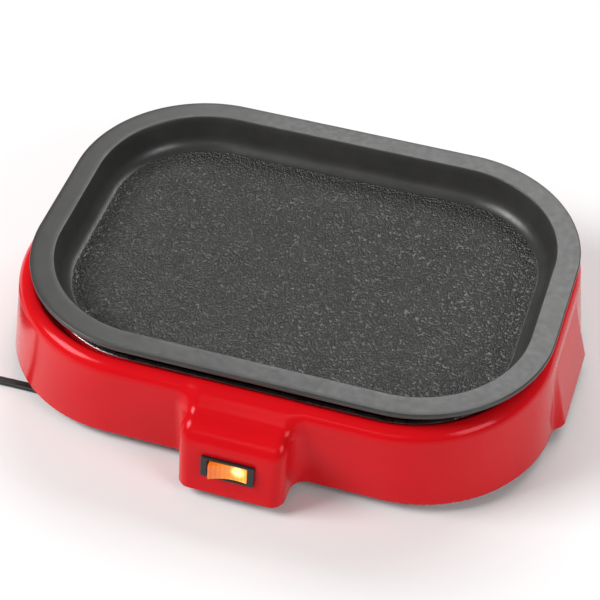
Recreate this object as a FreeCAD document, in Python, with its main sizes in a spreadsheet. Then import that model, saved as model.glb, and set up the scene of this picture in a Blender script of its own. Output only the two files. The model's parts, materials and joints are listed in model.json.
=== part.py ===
import FreeCAD, Part
import math
import os
import Sketcher

# A compact electric griddle: red moulded housing, removable deep plate, open heater
# loop in a black pan, lit rocker switch in a box on the front, flat two-core lead.
# Units are mm, +Z is up, z = 0 is the surface it stands on. Most numbers below are
# measured from the plate's centre, which lies at y = plate_y of the part's frame.

V = FreeCAD.Vector
doc = FreeCAD.newDocument("griddle")
sheet = doc.addObject("Spreadsheet::Sheet", "dims")
SIZES = {
    "plate_y": 12.5,          # the housing's centre, from the middle of the whole footprint
    "plate_x": 2.7,           # the loose plate sits this far to the right of the housing's centre
    "shell_half_x": 163.0, "shell_half_y": 116.5, "shell_corner": 80.8,
    "lean_x": 4.7, "lean_round": 3.6,   # the end walls lean in by this much up to the shoulder
    "shoulder_x": 8.8, "shoulder_y": 8.0, "shoulder_round": 7.4, "shoulder_high": 8.0,
    "rim_half_x": 154.0, "rim_half_y": 110.3, "rim_corner": 80.5,
    "rim_top": 72.0, "rim_thick": 3.2, "rim_width": 14.6,
    "pan_depth": 21.0, "pan_draft": 11.5, "pan_cove": 10.0, "pan_skin": 3.0,
    "plate_pad_high": 1.0, "plate_pad_rad": 6.0, "support_x": 60.0, "support_y": 32.0,
    "shell_foot": 6.5, "shell_crest": 61.0,
    "shell_skin": 2.8, "crest_in": 0.5, "ledge_in": 13.6, "ledge_top": 50.0,
    "ledge_thick": 2.0, "slope_angle": 31.3,
    "box_half": 31.1, "box_middle": 1.6, "box_front": 141.5, "box_round": 7.0, "box_flare": 8.0,
    "box_top": 46.3, "box_lean": 5.2,
    "grip_half": 29.0, "grip_out": 169.0, "grip_flare": 9.0,
    "boss_rad": 4.0, "boss_bore": 1.4,
    "cover_thick": 2.5, "cover_in": 3.4, "post_rad": 4.5, "post_x": 85.0, "post_y": 50.0,
    "tunnel_wide": 20.0, "tunnel_long": 82.0, "tunnel_top": 18.8, "tunnel_skin": 1.6,
    "vent_long": 46.0, "vent_wide": 3.0, "vent_pitch": 8.0,
    "shield_foot": 20.0, "shield_in": 14.5, "shield_lip_in": 12.2, "shield_gauge": 1.0,
    "shield_round": 8.0,
    "tube_rad": 3.25, "heater_high": 44.4, "heater_exit_high": 36.0,
    "heater_half_x": 100.0, "heater_half_y": 58.0, "heater_round": 40.0, "heater_exit_x": 18.0,
    "bush_flange": 6.5, "bush_neck": 4.5,
    "foot_rad": 8.0, "foot_x": 125.0, "foot_y": 72.0,
    "bezel_wide": 31.0, "bezel_high": 14.0, "bezel_thick": 2.2,
    "switch_wide": 27.0, "switch_high": 12.0, "switch_deep": 18.0,
    "rocker_half": 10.9, "rocker_high": 10.2, "rocker_tilt": 10.0, "pivot_rad": 1.0,
    "cord_wide": 5.6, "cord_thick": 2.8, "coil_rad": 33.0, "coil_wide": 17.6,
    "wire_rad": 1.0,
}
for i, (name, value) in enumerate(SIZES.items(), 1):
    sheet.set("A%d" % i, name)
    sheet.set("B%d" % i, str(value))
    sheet.setAlias("B%d" % i, name)
doc.recompute()


def g(name):
    return float(sheet.get(name))


YC = g("plate_y")
SHIFT = FreeCAD.Placement(V(0, YC, 0), FreeCAD.Rotation())
RX, RY, RC = "dims.rim_half_x", "dims.rim_half_y", "dims.rim_corner"
PARTS = []


# ---------------------------------------------------------------- helpers
def plane(body, role):
    return [f for f in body.Origin.OriginFeatures if f.Role == role][0]


def new_body(label):
    b = doc.addObject("PartDesign::Body", label + "_body")
    b.Label = label
    b.setExpression("Placement.Base.y", "dims.plate_y")
    PARTS.append(b)
    return b


def sketch(body, name, z="0", role="XY_Plane"):
    s = body.newObject("Sketcher::SketchObject", name)
    s.AttachmentSupport = [(plane(body, role), "")]
    s.MapMode = "FlatFace"
    if z != "0":
        s.setExpression("AttachmentOffset.Base.z", z)
    return s


def rrect(s, ex, ey, er, x0=0.0, y0=0.0):
    """A rounded rectangle centred on (x0, y0), with half sides ex, ey and corner er bound to cells."""
    hx, hy, r = [float(s.evalExpression(e)) for e in (ex, ey, er)]
    n = s.GeometryCount
    X, Y = V(1, 0, 0), V(0, 0, 1)
    cx, cy = hx - r, hy - r
    L = lambda a, b: Part.LineSegment(V(x0 + a[0], y0 + a[1], 0), V(x0 + b[0], y0 + b[1], 0))
    A = lambda c, a0, a1: Part.ArcOfCircle(Part.Circle(V(x0 + c[0], y0 + c[1], 0), V(0, 0, 1), r), math.radians(a0), math.radians(a1))
    s.addGeometry([L((-cx, -hy), (cx, -hy)), A((cx, -cy), -90, 0), L((hx, -cy), (hx, cy)), A((cx, cy), 0, 90),
                   L((cx, hy), (-cx, hy)), A((-cx, cy), 90, 180), L((-hx, cy), (-hx, -cy)), A((-cx, -cy), 180, 270)], False)
    C = Sketcher.Constraint
    for k in range(8):
        s.addConstraint(C("Tangent", n + k, 2, n + (k + 1) % 8, 1))
    for k in (0, 4):
        s.addConstraint(C("Horizontal", n + k))
    for k in (2, 6):
        s.addConstraint(C("Vertical", n + k))
    for k in (3, 5, 7):
        s.addConstraint(C("Equal", n + 1, n + k))
    made = []
    i = s.addConstraint(C("Radius", n + 1, r)); made.append((i, er))
    i = s.addConstraint(C("DistanceX", -1, 1, n + 2, 1, x0 + hx)); made.append((i, "%s + %g" % (ex, x0) if x0 else ex))
    i = s.addConstraint(C("DistanceY", -1, 1, n + 4, 1, y0 + hy)); made.append((i, "%s + %g" % (ey, y0) if y0 else ey))
    i = s.addConstraint(C("DistanceX", n + 6, 1, n + 2, 1, 2 * hx)); made.append((i, "2 * (%s)" % ex))
    i = s.addConstraint(C("DistanceY", n + 0, 1, n + 4, 1, 2 * hy)); made.append((i, "2 * (%s)" % ey))
    for i, e in made:
        s.setExpression("Constraints[%d]" % i, e)


def off(o):
    """Half sides and corner of the rim's outline, moved outwards by the expression o."""
    return "%s + %s" % (RX, o), "%s + %s" % (RY, o), "%s + %s" % (RC, o)


def shell(o):
    """The same for the housing's outline at its foot."""
    return "dims.shell_half_x + %s" % o, "dims.shell_half_y + %s" % o, "dims.shell_corner + %s" % o


def rise(share, o="0", up="1"):
    """The same above it: up is the share of the wall's height, share how much of the shoulder's width has been passed."""
    return ("dims.shell_half_x - dims.lean_x * %s - dims.shoulder_x * %s + %s" % (up, share, o),
            "dims.shell_half_y - dims.shoulder_y * %s + %s" % (share, o),
            "dims.shell_corner + dims.lean_round * %s - dims.shoulder_round * %s + %s" % (up, share, o))


def loft(body, sketches, name, cut=False):
    p = body.newObject("PartDesign::SubtractiveLoft" if cut else "PartDesign::AdditiveLoft", name)
    p.Profile = sketches[0]
    p.Sections = sketches[1:]
    p.Ruled = True
    return p


def circles(s, places, er):
    r = float(s.evalExpression(er))
    for (x, y) in places:
        n = s.addGeometry(Part.Circle(V(x, y, 0), V(0, 0, 1), r), False)
        s.addConstraint(Sketcher.Constraint("DistanceX", -1, 1, n, 3, x))
        s.addConstraint(Sketcher.Constraint("DistanceY", -1, 1, n, 3, y))
        i = s.addConstraint(Sketcher.Constraint("Radius", n, r))
        s.setExpression("Constraints[%d]" % i, er)


def outline(s, items):
    """A closed outline of lines ('L', a, b) and arcs through three points ('A', a, m, b)."""
    n0 = s.GeometryCount
    for it in items:
        if it[0] == "L":
            s.addGeometry(Part.LineSegment(V(*it[1], 0), V(*it[2], 0)), False)
        else:
            s.addGeometry(Part.Arc(V(*it[1], 0), V(*it[2], 0), V(*it[3], 0)), False)
    for k in range(n0, s.GeometryCount):
        s.addConstraint(Sketcher.Constraint("Block", k))


def polygon(s, pts):
    outline(s, [("L", pts[k], pts[(k + 1) % len(pts)]) for k in range(len(pts))])


def pad(body, s, length, reverse=False, taper=None, name="Pad", mid=False):
    p = body.newObject("PartDesign::Pad", name)
    p.Profile = s
    p.setExpression("Length", length)
    p.Reversed = reverse
    p.Midplane = mid
    if taper:
        p.setExpression("TaperAngle", taper)
    return p


def pocket(body, s, length, reverse=False, taper=None, mid=False, name="Pocket"):
    before = body.Tip.Shape.Volume
    p = body.newObject("PartDesign::Pocket", name)
    p.Profile = s
    p.setExpression("Length", length)
    p.Reversed = reverse
    p.Midplane = mid
    if taper:
        p.setExpression("TaperAngle", taper)
    doc.recompute()
    if not body.Tip.Shape.Volume < before - 0.5:
        raise SystemExit("%s %s cut nothing" % (body.Label, p.Name))
    return p


def fillet(body, pick, radius, name="Fillet"):
    base = body.Tip
    doc.recompute()
    names = ["Edge%d" % (k + 1) for k, e in enumerate(base.Shape.Edges) if pick(e)]
    if not names:
        raise SystemExit("%s: no edges for %s" % (body.Label, name))
    f = body.newObject("PartDesign::Fillet", name)
    f.Base = (base, names)
    f.setExpression("Radius", radius)
    doc.recompute()
    if f.Shape.isNull() or not f.isValid():
        raise SystemExit("%s: %s failed on %d edges" % (body.Label, name, len(names)))
    return f


def at(z, tol=0.01, o=None):
    """Edges that lie flat at height z and, if o is given, within the outline grown by o = (lo, hi)."""
    def pick(e):
        b = e.BoundBox
        if abs(b.ZMin - z) > tol or abs(b.ZMax - z) > tol:
            return False
        if o is None:
            return True
        m = e.valueAt((e.FirstParameter + e.LastParameter) / 2)
        return o[0] <= outset(m.x, m.y) <= o[1]
    return pick


def outset(x, y):
    a, b, r = g("rim_half_x"), g("rim_half_y"), g("rim_corner")
    qx, qy = abs(x) - (a - r), abs(y) - (b - r)
    return math.hypot(max(qx, 0), max(qy, 0)) + min(max(qx, qy), 0) - r


def prim(kind, name, exprs, pos, rot=None):
    """A Part primitive with its sizes bound to cells. pos is from the plate's centre."""
    o = doc.addObject("Part::" + kind, name)
    for k, e in exprs.items():
        o.setExpression(k, e)
    o.Placement = FreeCAD.Placement(V(pos[0], pos[1] + YC, pos[2]), rot or FreeCAD.Rotation())
    return o


def block(name, lo, hi):
    return prim("Box", name, {"Length": "%g" % (hi[0] - lo[0]), "Width": "%g" % (hi[1] - lo[1]), "Height": "%g" % (hi[2] - lo[2])}, lo)


AX = {"x": FreeCAD.Rotation(V(0, 1, 0), 90), "y": FreeCAD.Rotation(V(1, 0, 0), -90), "z": FreeCAD.Rotation()}


def rod(name, axis, pos, radius, length):
    return prim("Cylinder", name, {"Radius": radius, "Height": length}, pos, AX[axis])


def fuse(name, items):
    o = doc.addObject("Part::MultiFuse", name)
    o.Shapes = items
    o.Refine = True
    return o


def cut(name, a, b):
    o = doc.addObject("Part::Cut", name)
    o.Base, o.Tool = a, b
    return o


def group(name, items):
    """Several separate solids that are one node."""
    o = doc.addObject("Part::Compound", name)
    o.Links = items
    return o


def keep(o, label):
    o.Label = label
    PARTS.append(o)
    return o


def feature(label, shape, placement=SHIFT):
    o = doc.addObject("Part::Feature", label + "_shape")
    o.Shape = shape
    o.Placement = placement
    return keep(o, label)


def rounded_path(pts, radii=None, share=0.45, show=None):
    """Straight runs joined by tangent arcs. Each arc's radius is share of its shorter run, over the tangent of half the turn."""
    P = [V(*p) for p in pts]
    edges, start, out = [], P[0], []
    for k in range(1, len(P) - 1):
        a, b = P[k] - P[k - 1], P[k + 1] - P[k]
        turn = a.getAngle(b)
        u, w = V(a).normalize(), V(b).normalize()
        half = math.tan(turn / 2)
        r = radii[k - 1] if radii else share * min(a.Length, b.Length) / half
        back = r * half
        p0, p1 = P[k] - u * back, P[k] + w * back
        bis = (w - u).normalize()
        centre = P[k] + bis * (r / math.cos(turn / 2))
        mid = centre - bis * r
        if (p0 - start).Length > 1e-6:
            edges.append(Part.LineSegment(start, p0).toShape())
        edges.append(Part.Arc(p0, mid, p1).toShape())
        start = p1
        out.append((r, math.degrees(turn)))
    edges.append(Part.LineSegment(start, P[-1]).toShape())
    if show:
        print(show, "radii", [round(r, 1) for r, _ in out], "turns", [round(t, 1) for _, t in out])
    return Part.Wire(edges)


def tube(path, radius):
    e = path.Edges[0]
    t = e.tangentAt(e.FirstParameter)
    c = Part.Wire([Part.Circle(e.valueAt(e.FirstParameter), t, radius).toShape()])
    s = path.makePipeShell([c], True, False, 2)
    if not s.isValid() or s.Volume <= 0:
        s = s.removeSplitter()
    v = math.pi * radius ** 2 * path.Length
    if abs(s.Volume - v) > 0.02 * v:
        raise SystemExit("tube volume %.1f, expected %.1f" % (s.Volume, v))
    return s


# ---------------------------------------------------------------- upper housing
b = new_body("upper_housing")
levels = [sketch(b, "shell_outline", "dims.shell_foot")]
rrect(levels[0], *shell("0"))
for k in range(6):
    a = math.radians(18 * k)
    levels.append(sketch(b, "shoulder_level%d" % k, "dims.shell_crest - dims.shoulder_high * %.5f" % (1 - math.sin(a)) if k < 5 else "dims.shell_crest"))
    rrect(levels[-1], *rise("%.5f" % (1 - math.cos(a))))
loft(b, levels, "walls")
doc.recompute()

BH, BF, BR, BL, SO = g("box_half"), g("box_front"), g("box_round"), g("box_flare"), g("shell_half_y")
BX = g("box_middle")
k45 = 1 - math.sqrt(0.5)


def box_plan(t, deep):
    """The switch box's plan: flared into the long wall, all walls moved in by t."""
    h, f, fl, w = BH - t, BF - t, BL + t, SO - t
    right = [("A", (h + fl, -w), (h + fl * k45, -(w + fl * k45)), (h, -(w + fl))),
             ("L", (h, -(w + fl)), (h, -f))]
    left = [(it[0],) + tuple((-p[0], p[1]) for p in it[1:]) for it in right]
    left = [(it[0],) + tuple(reversed(it[1:])) for it in reversed(left)]
    items = right + [("L", (h, -f), (-h, -f))] + left + [
        ("L", (-(h + fl), -w), (-(h + fl), -deep)), ("L", (-(h + fl), -deep), (h + fl, -deep)), ("L", (h + fl, -deep), (h + fl, -w))]
    return [(it[0],) + tuple((p[0] + BX, p[1]) for p in it[1:]) for it in items]


s = sketch(b, "box_plan", "dims.shell_foot")
outline(s, box_plan(0.0, 108.0))
pad(b, s, "54 - dims.shell_foot", name="switch_box")
doc.recompute()
BT, LEAN, FOOT = g("box_top"), g("box_lean"), g("shell_foot")
# the side view of the box: a face that leans back and a top that slopes up to the shoulder
s = sketch(b, "box_side", role="YZ_Plane")
polygon(s, [(-SO + 0.55, 62), (-SO + 0.55, 53.2), (-(BF - LEAN), BT), (-BF, FOOT), (-BF - 9, FOOT), (-BF - 9, 62)])
pocket(b, s, "100", mid=True, name="box_faces")


def upright(e):
    bb = e.BoundBox
    return abs(abs(bb.Center.x - BX) - BH) < 0.01 and bb.XLength < 0.01 and abs(bb.YMin + BF) < 0.02 and bb.ZLength > 30


fillet(b, upright, "dims.box_round", "box_corners")

GH, GO, GF, WX = g("grip_half"), g("grip_out"), g("grip_flare"), g("shell_half_x")
for side, sg in (("right", 1), ("left", -1)):
    s = sketch(b, side + "_grip_plan", "dims.shell_foot")
    pts = [(150, -GH - GF - 4), (WX - 1.2, -GH - GF), (GO, -GH), (GO, GH), (WX - 1.2, GH + GF), (150, GH + GF + 4)]
    polygon(s, [(sg * x, y) for x, y in pts])
    pad(b, s, "48 - dims.shell_foot", name=side + "_grip")
    doc.recompute()
    s = sketch(b, side + "_grip_side", role="XZ_Plane")
    polygon(s, [(sg * x, z) for x, z in [(GO, FOOT), (WX - g("lean_x") + 0.4, 48.01), (WX - g("lean_x") + 0.4, 60), (178, 60), (178, FOOT)]])
    pocket(b, s, "120", mid=True, name=side + "_grip_face")

# the mouth: a slope from the crest down to the ledge, then the opening inside the ledge
s = sketch(b, "mouth", "dims.shell_crest")
rrect(s, *rise("1", "-dims.crest_in"))
pocket(b, s, "dims.shell_crest - dims.ledge_top", taper="-dims.slope_angle", name="mouth_slope")
if b.Tip.Shape.isInside(V(g("shell_half_x") - g("lean_x") - g("shoulder_x") - g("crest_in") - 2, 0, 60), 0.01, True):
    raise SystemExit("the mouth slopes the wrong way")
s = sketch(b, "opening", "dims.shell_crest")
rrect(s, *off("-dims.ledge_in"))
pocket(b, s, "60", name="through_opening")
# the cavity under the ledge, and up inside the shoulder
s1 = sketch(b, "cavity_foot", "dims.shell_foot")
rrect(s1, *shell("-dims.shell_skin"))
s2 = sketch(b, "cavity_roof", "dims.ledge_top - dims.ledge_thick")
rrect(s2, *rise("0", "-dims.shell_skin", "(dims.ledge_top - dims.ledge_thick - dims.shell_foot) / (dims.shell_crest - dims.shoulder_high - dims.shell_foot)"))
before = b.Tip.Shape.Volume
loft(b, [s1, s2], "cavity_cut", cut=True)
doc.recompute()
if not b.Tip.Shape.Volume < 0.7 * before:
    raise SystemExit("the cavity cut nothing")
s = sketch(b, "shoulder_room", "dims.ledge_top - dims.ledge_thick - 0.01")
rrect(s, *rise("0", "-dims.shell_skin - 0.2"))
rrect(s, *rise("1", "1"))
pocket(b, s, "6", reverse=True, name="shoulder_cut")
s = sketch(b, "box_room", role="YZ_Plane")
polygon(s, [(-108, FOOT), (-108, 46), (-117, 46), (-(BF - LEAN) + 3.2, BT - 4.6), (-BF + 3.1, FOOT)])
s.setExpression("AttachmentOffset.Base.z", "dims.box_middle")
pocket(b, s, "2 * (dims.box_half - dims.shell_skin)", mid=True, name="box_cavity")
# six screw bosses
BOSS = [(-75, -109), (75, -109), (-75, 107), (75, 107), (-150.5, 0), (150.5, 0)]
s = sketch(b, "bosses", "dims.shell_foot + dims.cover_thick + 0.2")
circles(s, BOSS, "dims.boss_rad")
pad(b, s, "49 - dims.shell_foot - dims.cover_thick", name="boss_pad")
doc.recompute()
s = sketch(b, "boss_bores", "dims.shell_foot + dims.cover_thick + 0.1")
circles(s, BOSS, "dims.boss_bore")
pocket(b, s, "22", reverse=True, name="boss_holes")
# the cut-out that the switch clips into, square to the leaning face
ANG = 90 - math.degrees(math.atan2(LEAN, BT - FOOT))
SW = V(1.1, -(BF - LEAN * (27.3 - FOOT) / (BT - FOOT)), 27.3)
s = sketch(b, "switch_hole")
s.AttachmentOffset = FreeCAD.Placement(SW, FreeCAD.Rotation(V(1, 0, 0), ANG))
rrect(s, "dims.switch_wide / 2 + 0.1", "dims.switch_high / 2 + 0.1", "0.05")
pocket(b, s, "24", mid=True, name="switch_cut")

# ---------------------------------------------------------------- base cover
b = new_body("base_cover")
s = sketch(b, "cover_outline", "dims.shell_foot")
rrect(s, *shell("-dims.cover_in"))
pad(b, s, "dims.cover_thick", name="cover_plate")
s = sketch(b, "tongue", "dims.shell_foot")
polygon(s, [(BX - 27.0, -108), (BX - 27.0, -136.0), (BX + 27.0, -136.0), (BX + 27.0, -108)])
pad(b, s, "dims.cover_thick", name="tongue_pad")
s = sketch(b, "tunnel_plan", "dims.shell_foot")
polygon(s, [(-112, -104), (-38.4, -104), (-38.4, -84), (-112, -84)])
pad(b, s, "dims.tunnel_top - dims.shell_foot", name="tunnel")
POSTS = [(x * g("post_x"), y * g("post_y")) for x in (-1, 1) for y in (-1, 1)]
s = sketch(b, "posts", "dims.shell_foot")
circles(s, POSTS, "dims.post_rad")
pad(b, s, "dims.shield_foot - dims.shell_foot", name="post_pad")
s = sketch(b, "rib_plan", "dims.shell_foot")
for x in (-40, 40):
    polygon(s, [(x - 0.8, -50), (x + 0.8, -50), (x + 0.8, 80), (x - 0.8, 80)])
pad(b, s, "dims.cover_thick + 4", name="ribs")
doc.recompute()
s = sketch(b, "tunnel_room", "dims.shell_foot")
polygon(s, [(-110.4, -102.4), (-40, -102.4), (-40, -85.6), (-110.4, -85.6)])
pocket(b, s, "dims.tunnel_top - dims.tunnel_skin - dims.shell_foot", reverse=True, name="tunnel_cut")
s = sketch(b, "post_bores", "dims.shield_foot")
circles(s, POSTS, "1.5")
pocket(b, s, "8", name="post_holes")
HOLES = BOSS
s = sketch(b, "screw_holes", "dims.shell_foot")
circles(s, HOLES, "1.8")
pocket(b, s, "10", reverse=True, name="screw_cut")
FEET = [(x * g("foot_x"), y * g("foot_y")) for x in (-1, 1) for y in (-1, 1)]
s = sketch(b, "foot_holes", "dims.shell_foot")
circles(s, FEET, "3")
pocket(b, s, "10", reverse=True, name="foot_cut")
s = sketch(b, "vent", "dims.shell_foot")
rrect(s, "dims.vent_long / 2", "dims.vent_wide / 2", "dims.vent_wide / 2 - 0.1", 0.0, -10.0)
v = pocket(b, s, "10", reverse=True, name="vent_cut")
pat = b.newObject("PartDesign::LinearPattern", "vent_row")
pat.Originals = [v]
pat.Direction = (s, ["V_Axis"])
pat.setExpression("Length", "dims.vent_pitch * 8")
pat.Occurrences = 9
b.Tip = pat
doc.recompute()
s = sketch(b, "bush_hole", "38", role="YZ_Plane")
s.setExpression("AttachmentOffset.Base.z", "-37.5")
circles(s, [(-94.0, 12.6)], "3.4")
pocket(b, s, "3.5", name="bush_cut")

# ---------------------------------------------------------------- heat shield pan
b = new_body("heat_shield")
s = sketch(b, "pan_outline", "dims.shield_foot")
rrect(s, *off("-dims.shield_in"))
pad(b, s, "dims.ledge_top + dims.shield_gauge - dims.shield_foot", name="pan_block")
doc.recompute()
fillet(b, at(g("shield_foot")), "dims.shield_round", "pan_round")
tip = b.Tip
upper = max(range(len(tip.Shape.Faces)), key=lambda k: tip.Shape.Faces[k].CenterOfMass.z)
th = b.newObject("PartDesign::Thickness", "pan_wall")
th.Base = (tip, ["Face%d" % (upper + 1)])
th.setExpression("Value", "dims.shield_gauge")
th.Reversed = True
doc.recompute()
s = sketch(b, "lip_outline", "dims.ledge_top")
rrect(s, *off("-dims.shield_lip_in"))
rrect(s, *off("-dims.shield_in - dims.shield_gauge"))
pad(b, s, "dims.shield_gauge", name="lip")
doc.recompute()
s = sketch(b, "bush_holes", role="XZ_Plane")
circles(s, [(-g("heater_exit_x"), g("heater_exit_high")), (g("heater_exit_x"), g("heater_exit_high"))], "dims.bush_neck")
s.AttachmentOffset = FreeCAD.Placement(V(0, 0, 80), FreeCAD.Rotation())
pocket(b, s, "60", mid=True, name="bush_cuts")
s = sketch(b, "floor_holes", "dims.shield_foot - 1")
circles(s, POSTS, "2")
circles(s, [(0, -45)], "5")
pocket(b, s, "4", reverse=True, name="floor_cuts")

# ---------------------------------------------------------------- grill plate
b = new_body("grill_plate")
b.setExpression("Placement.Base.x", "dims.plate_x")
s = sketch(b, "rim_outline", "dims.rim_top")
rrect(s, *off("0"))
pad(b, s, "dims.rim_thick", reverse=True, name="rim")
s = sketch(b, "pan_outline", "dims.rim_top - 1")
rrect(s, *off("-dims.rim_width + dims.pan_skin"))
p = pad(b, s, "dims.pan_depth + dims.pan_skin - 1", reverse=True, taper="-dims.pan_draft", name="pan")
doc.recompute()
under = g("rim_top") - g("pan_depth") - g("pan_skin")
fillet(b, at(under), "dims.pan_cove + dims.pan_skin - 0.5", "under_cove")
s = sketch(b, "pan_inside", "dims.rim_top")
rrect(s, *off("-dims.rim_width"))
pocket(b, s, "dims.pan_depth", taper="-dims.pan_draft", name="pan_cut")
fillet(b, at(g("rim_top") - g("pan_depth")), "dims.pan_cove", "cove")
fillet(b, at(g("rim_top")), "0.8", "rim_edges")
s = sketch(b, "pads", "dims.rim_top - dims.pan_depth - dims.pan_skin")
SUP = [(x * g("support_x"), y * g("support_y")) for x in (-1, 1) for y in (-1, 1)]
circles(s, SUP, "dims.plate_pad_rad")
pad(b, s, "dims.plate_pad_high", reverse=True, name="rest_pads")

# ---------------------------------------------------------------- heater
hx, hy, hz, he, ex = g("heater_half_x"), g("heater_half_y"), g("heater_high"), g("heater_exit_high"), g("heater_exit_x")
tr, rr = g("tube_rad"), g("heater_round")
path = rounded_path([(-ex, -104, he), (-ex, -78, he), (-ex, -66, hz), (-ex - 14, -hy, hz), (-hx, -hy, hz), (-hx, hy, hz), (hx, hy, hz),
                     (hx, -hy, hz), (ex + 14, -hy, hz), (ex, -66, hz), (ex, -78, he), (ex, -104, he)],
                    radii=[10, 9, 12, rr, rr, rr, rr, 12, 9, 10])
feature("heating_element", tube(path, tr))
tabs = []
for k, x in enumerate((-ex, ex)):
    pin = rod("cold_pin%d" % k, "y", (x, -107, he), "1.4", "3")
    tab = block("tab%d" % k, (x - 0.4, -115, he - 3.1), (x + 0.4, -107, he + 3.1))
    tabs.append(fuse("terminal%d" % k, [pin, tab]))
keep(group("heater_tabs", tabs), "heater_terminals")
bushes = []
for k, x in enumerate((-ex, ex)):
    a = rod("bush_flange%d" % k, "y", (x, -99.8, he), "dims.bush_flange", "4")
    c = rod("bush_neck%d" % k, "y", (x, -95.8, he), "dims.bush_neck", "3")
    h = rod("bush_bore%d" % k, "y", (x, -100.5, he), "dims.tube_rad + 0.05", "9")
    bushes.append(cut("bush%d" % k, fuse("bush_solid%d" % k, [a, c]), h))
keep(group("bushes", bushes), "heater_bushes")
z0 = g("shield_foot") + g("shield_gauge")
brk = []
for k, (x, y, ax) in enumerate(((-hx, 0, "y"), (hx, 0, "y"), (0, hy, "x"))):
    if ax == "y":
        plate = block("clip_plate%d" % k, (x - 7, y - 0.6, z0), (x + 7, y + 0.6, 46.4))
        foot = block("clip_foot%d" % k, (x - 7, y + 0.6, z0), (x + 7, y + 11, z0 + 1))
        bore = rod("clip_bore%d" % k, "y", (x, y - 2, hz), "dims.tube_rad + 0.05", "4")
        slot = block("clip_slot%d" % k, (x - 3.3, y - 2, hz), (x + 3.3, y + 2, 50))
    else:
        plate = block("clip_plate%d" % k, (x - 0.6, y - 7, z0), (x + 0.6, y + 7, 46.4))
        foot = block("clip_foot%d" % k, (x + 0.6, y - 7, z0), (x + 11, y + 7, z0 + 1))
        bore = rod("clip_bore%d" % k, "x", (x - 2, y, hz), "dims.tube_rad + 0.05", "4")
        slot = block("clip_slot%d" % k, (x - 2, y - 3.3, hz), (x + 2, y + 3.3, 50))
    brk.append(cut("clip%d" % k, fuse("clip_solid%d" % k, [plate, foot]), fuse("clip_gap%d" % k, [bore, slot])))
keep(group("clips", brk), "heater_brackets")
sup = []
ztop = under - g("plate_pad_high")
for k, (x, y) in enumerate(SUP):
    d = 1 if y > 0 else -1
    up0, up1 = sorted((y - 8 * d, y - 7 * d))
    ft0, ft1 = sorted((y - 8 * d, y + 2 * d))
    sup.append(fuse("support%d" % k, [
        block("sup_top%d" % k, (x - 7, min(y - 8 * d, y + 8 * d), ztop - 1), (x + 7, max(y - 8 * d, y + 8 * d), ztop)),
        block("sup_up%d" % k, (x - 7, up0, z0), (x + 7, up1, ztop)),
        block("sup_foot%d" % k, (x - 7, ft0, z0), (x + 7, ft1, z0 + 1))]))
keep(group("supports", sup), "plate_supports")

# ---------------------------------------------------------------- thermostat and fuse
keep(cut("stat_body", rod("stat_cyl", "z", (0, -20, 34), "8", "8"), rod("stat_bore", "z", (0, -20, 38), "3", "6")), "thermostat_body")
keep(fuse("stat_cap", [rod("cap_a", "z", (0, -20, 42), "7.6", "3.6"), rod("cap_b", "z", (0, -20, 45), "6.2", "2.3")]), "thermostat_cap")
br = cut("stat_ring", block("stat_plate", (-15, -29, 33), (15, -11, 34)), rod("stat_hole", "z", (0, -20, 32), "7", "3"))
keep(fuse("stat_bracket", [br, block("stat_leg_a", (-15, -29, z0), (-14, -11, 33)), block("stat_leg_b", (14, -29, z0), (15, -11, 33)),
                           block("stat_toe_a", (-22, -26, z0), (-15, -14, z0 + 1)), block("stat_toe_b", (15, -26, z0), (22, -14, z0 + 1))]), "thermostat_bracket")
keep(group("stat_tabs", [block("stat_tab_a", (-5.4, -23.1, 28), (-4.6, -16.9, 34)), block("stat_tab_b", (4.6, -23.1, 28), (5.4, -16.9, 34))]), "thermostat_terminals")
gr = fuse("grommet_solid", [rod("gr_low", "z", (0, -45, 18.6), "7", "1.4"), rod("gr_neck", "z", (0, -45, 20), "5", "1"), rod("gr_high", "z", (0, -45, 21), "7", "1.4")])
keep(cut("grommet", gr, rod("gr_bore", "z", (0, -45, 17), "3.2", "8")), "wire_grommet")
keep(fuse("fuse_solid", [rod("fuse_tube", "x", (32, -72, 16.2), "2.4", "22"), rod("fuse_cap", "x", (31, -72, 16.2), "1.6", "24")]), "thermal_fuse")
cl = fuse("fuse_clip_solid", [rod("fc_ring", "x", (40, -72, 16.2), "3.2", "6"), block("fc_tab", (40, -75, 18.4), (46, -69, 20)), block("fc_wing", (40, -80, 19), (46, -69, 20))])
keep(cut("fuse_clip", cl, rod("fc_bore", "x", (39, -72, 16.2), "2.4", "8")), "fuse_clip")

# ---------------------------------------------------------------- rocker switch
SWP = FreeCAD.Placement(SW + V(0, YC, 0), FreeCAD.Rotation(V(1, 0, 0), ANG))   # local x right, y up the face, z out of it
ROT = FreeCAD.Rotation(V(1, 0, 0), ANG)
PZ = -1.0            # the pivot's depth behind the face
W = g("cord_wide")


def sw_box(lo, hi):
    return Part.makeBox(hi[0] - lo[0], hi[1] - lo[1], hi[2] - lo[2], V(*lo))


def sw_solid(name, x0, x1, y0, y1, z0_, z1_):
    """A box in the switch's own frame, with its sizes bound to cells by expression text."""
    o = doc.addObject("Part::Box", name)
    for k, e in (("Length", "(%s) - (%s)" % (x1, x0)), ("Width", "(%s) - (%s)" % (y1, y0)), ("Height", "(%s) - (%s)" % (z1_, z0_))):
        o.setExpression(k, e)
    at0 = V(*[float(sheet.evalExpression(e)) if not isinstance(e, (int, float)) else e for e in (x0, y0, z0_)])
    o.Placement = SWP.multiply(FreeCAD.Placement(at0, FreeCAD.Rotation()))
    return o


def sw_rod(name, pos, rot, radius, length):
    o = doc.addObject("Part::Cylinder", name)
    o.setExpression("Radius", radius)
    o.setExpression("Height", length)
    o.Placement = SWP.multiply(FreeCAD.Placement(V(*pos), rot))
    return o


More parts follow.
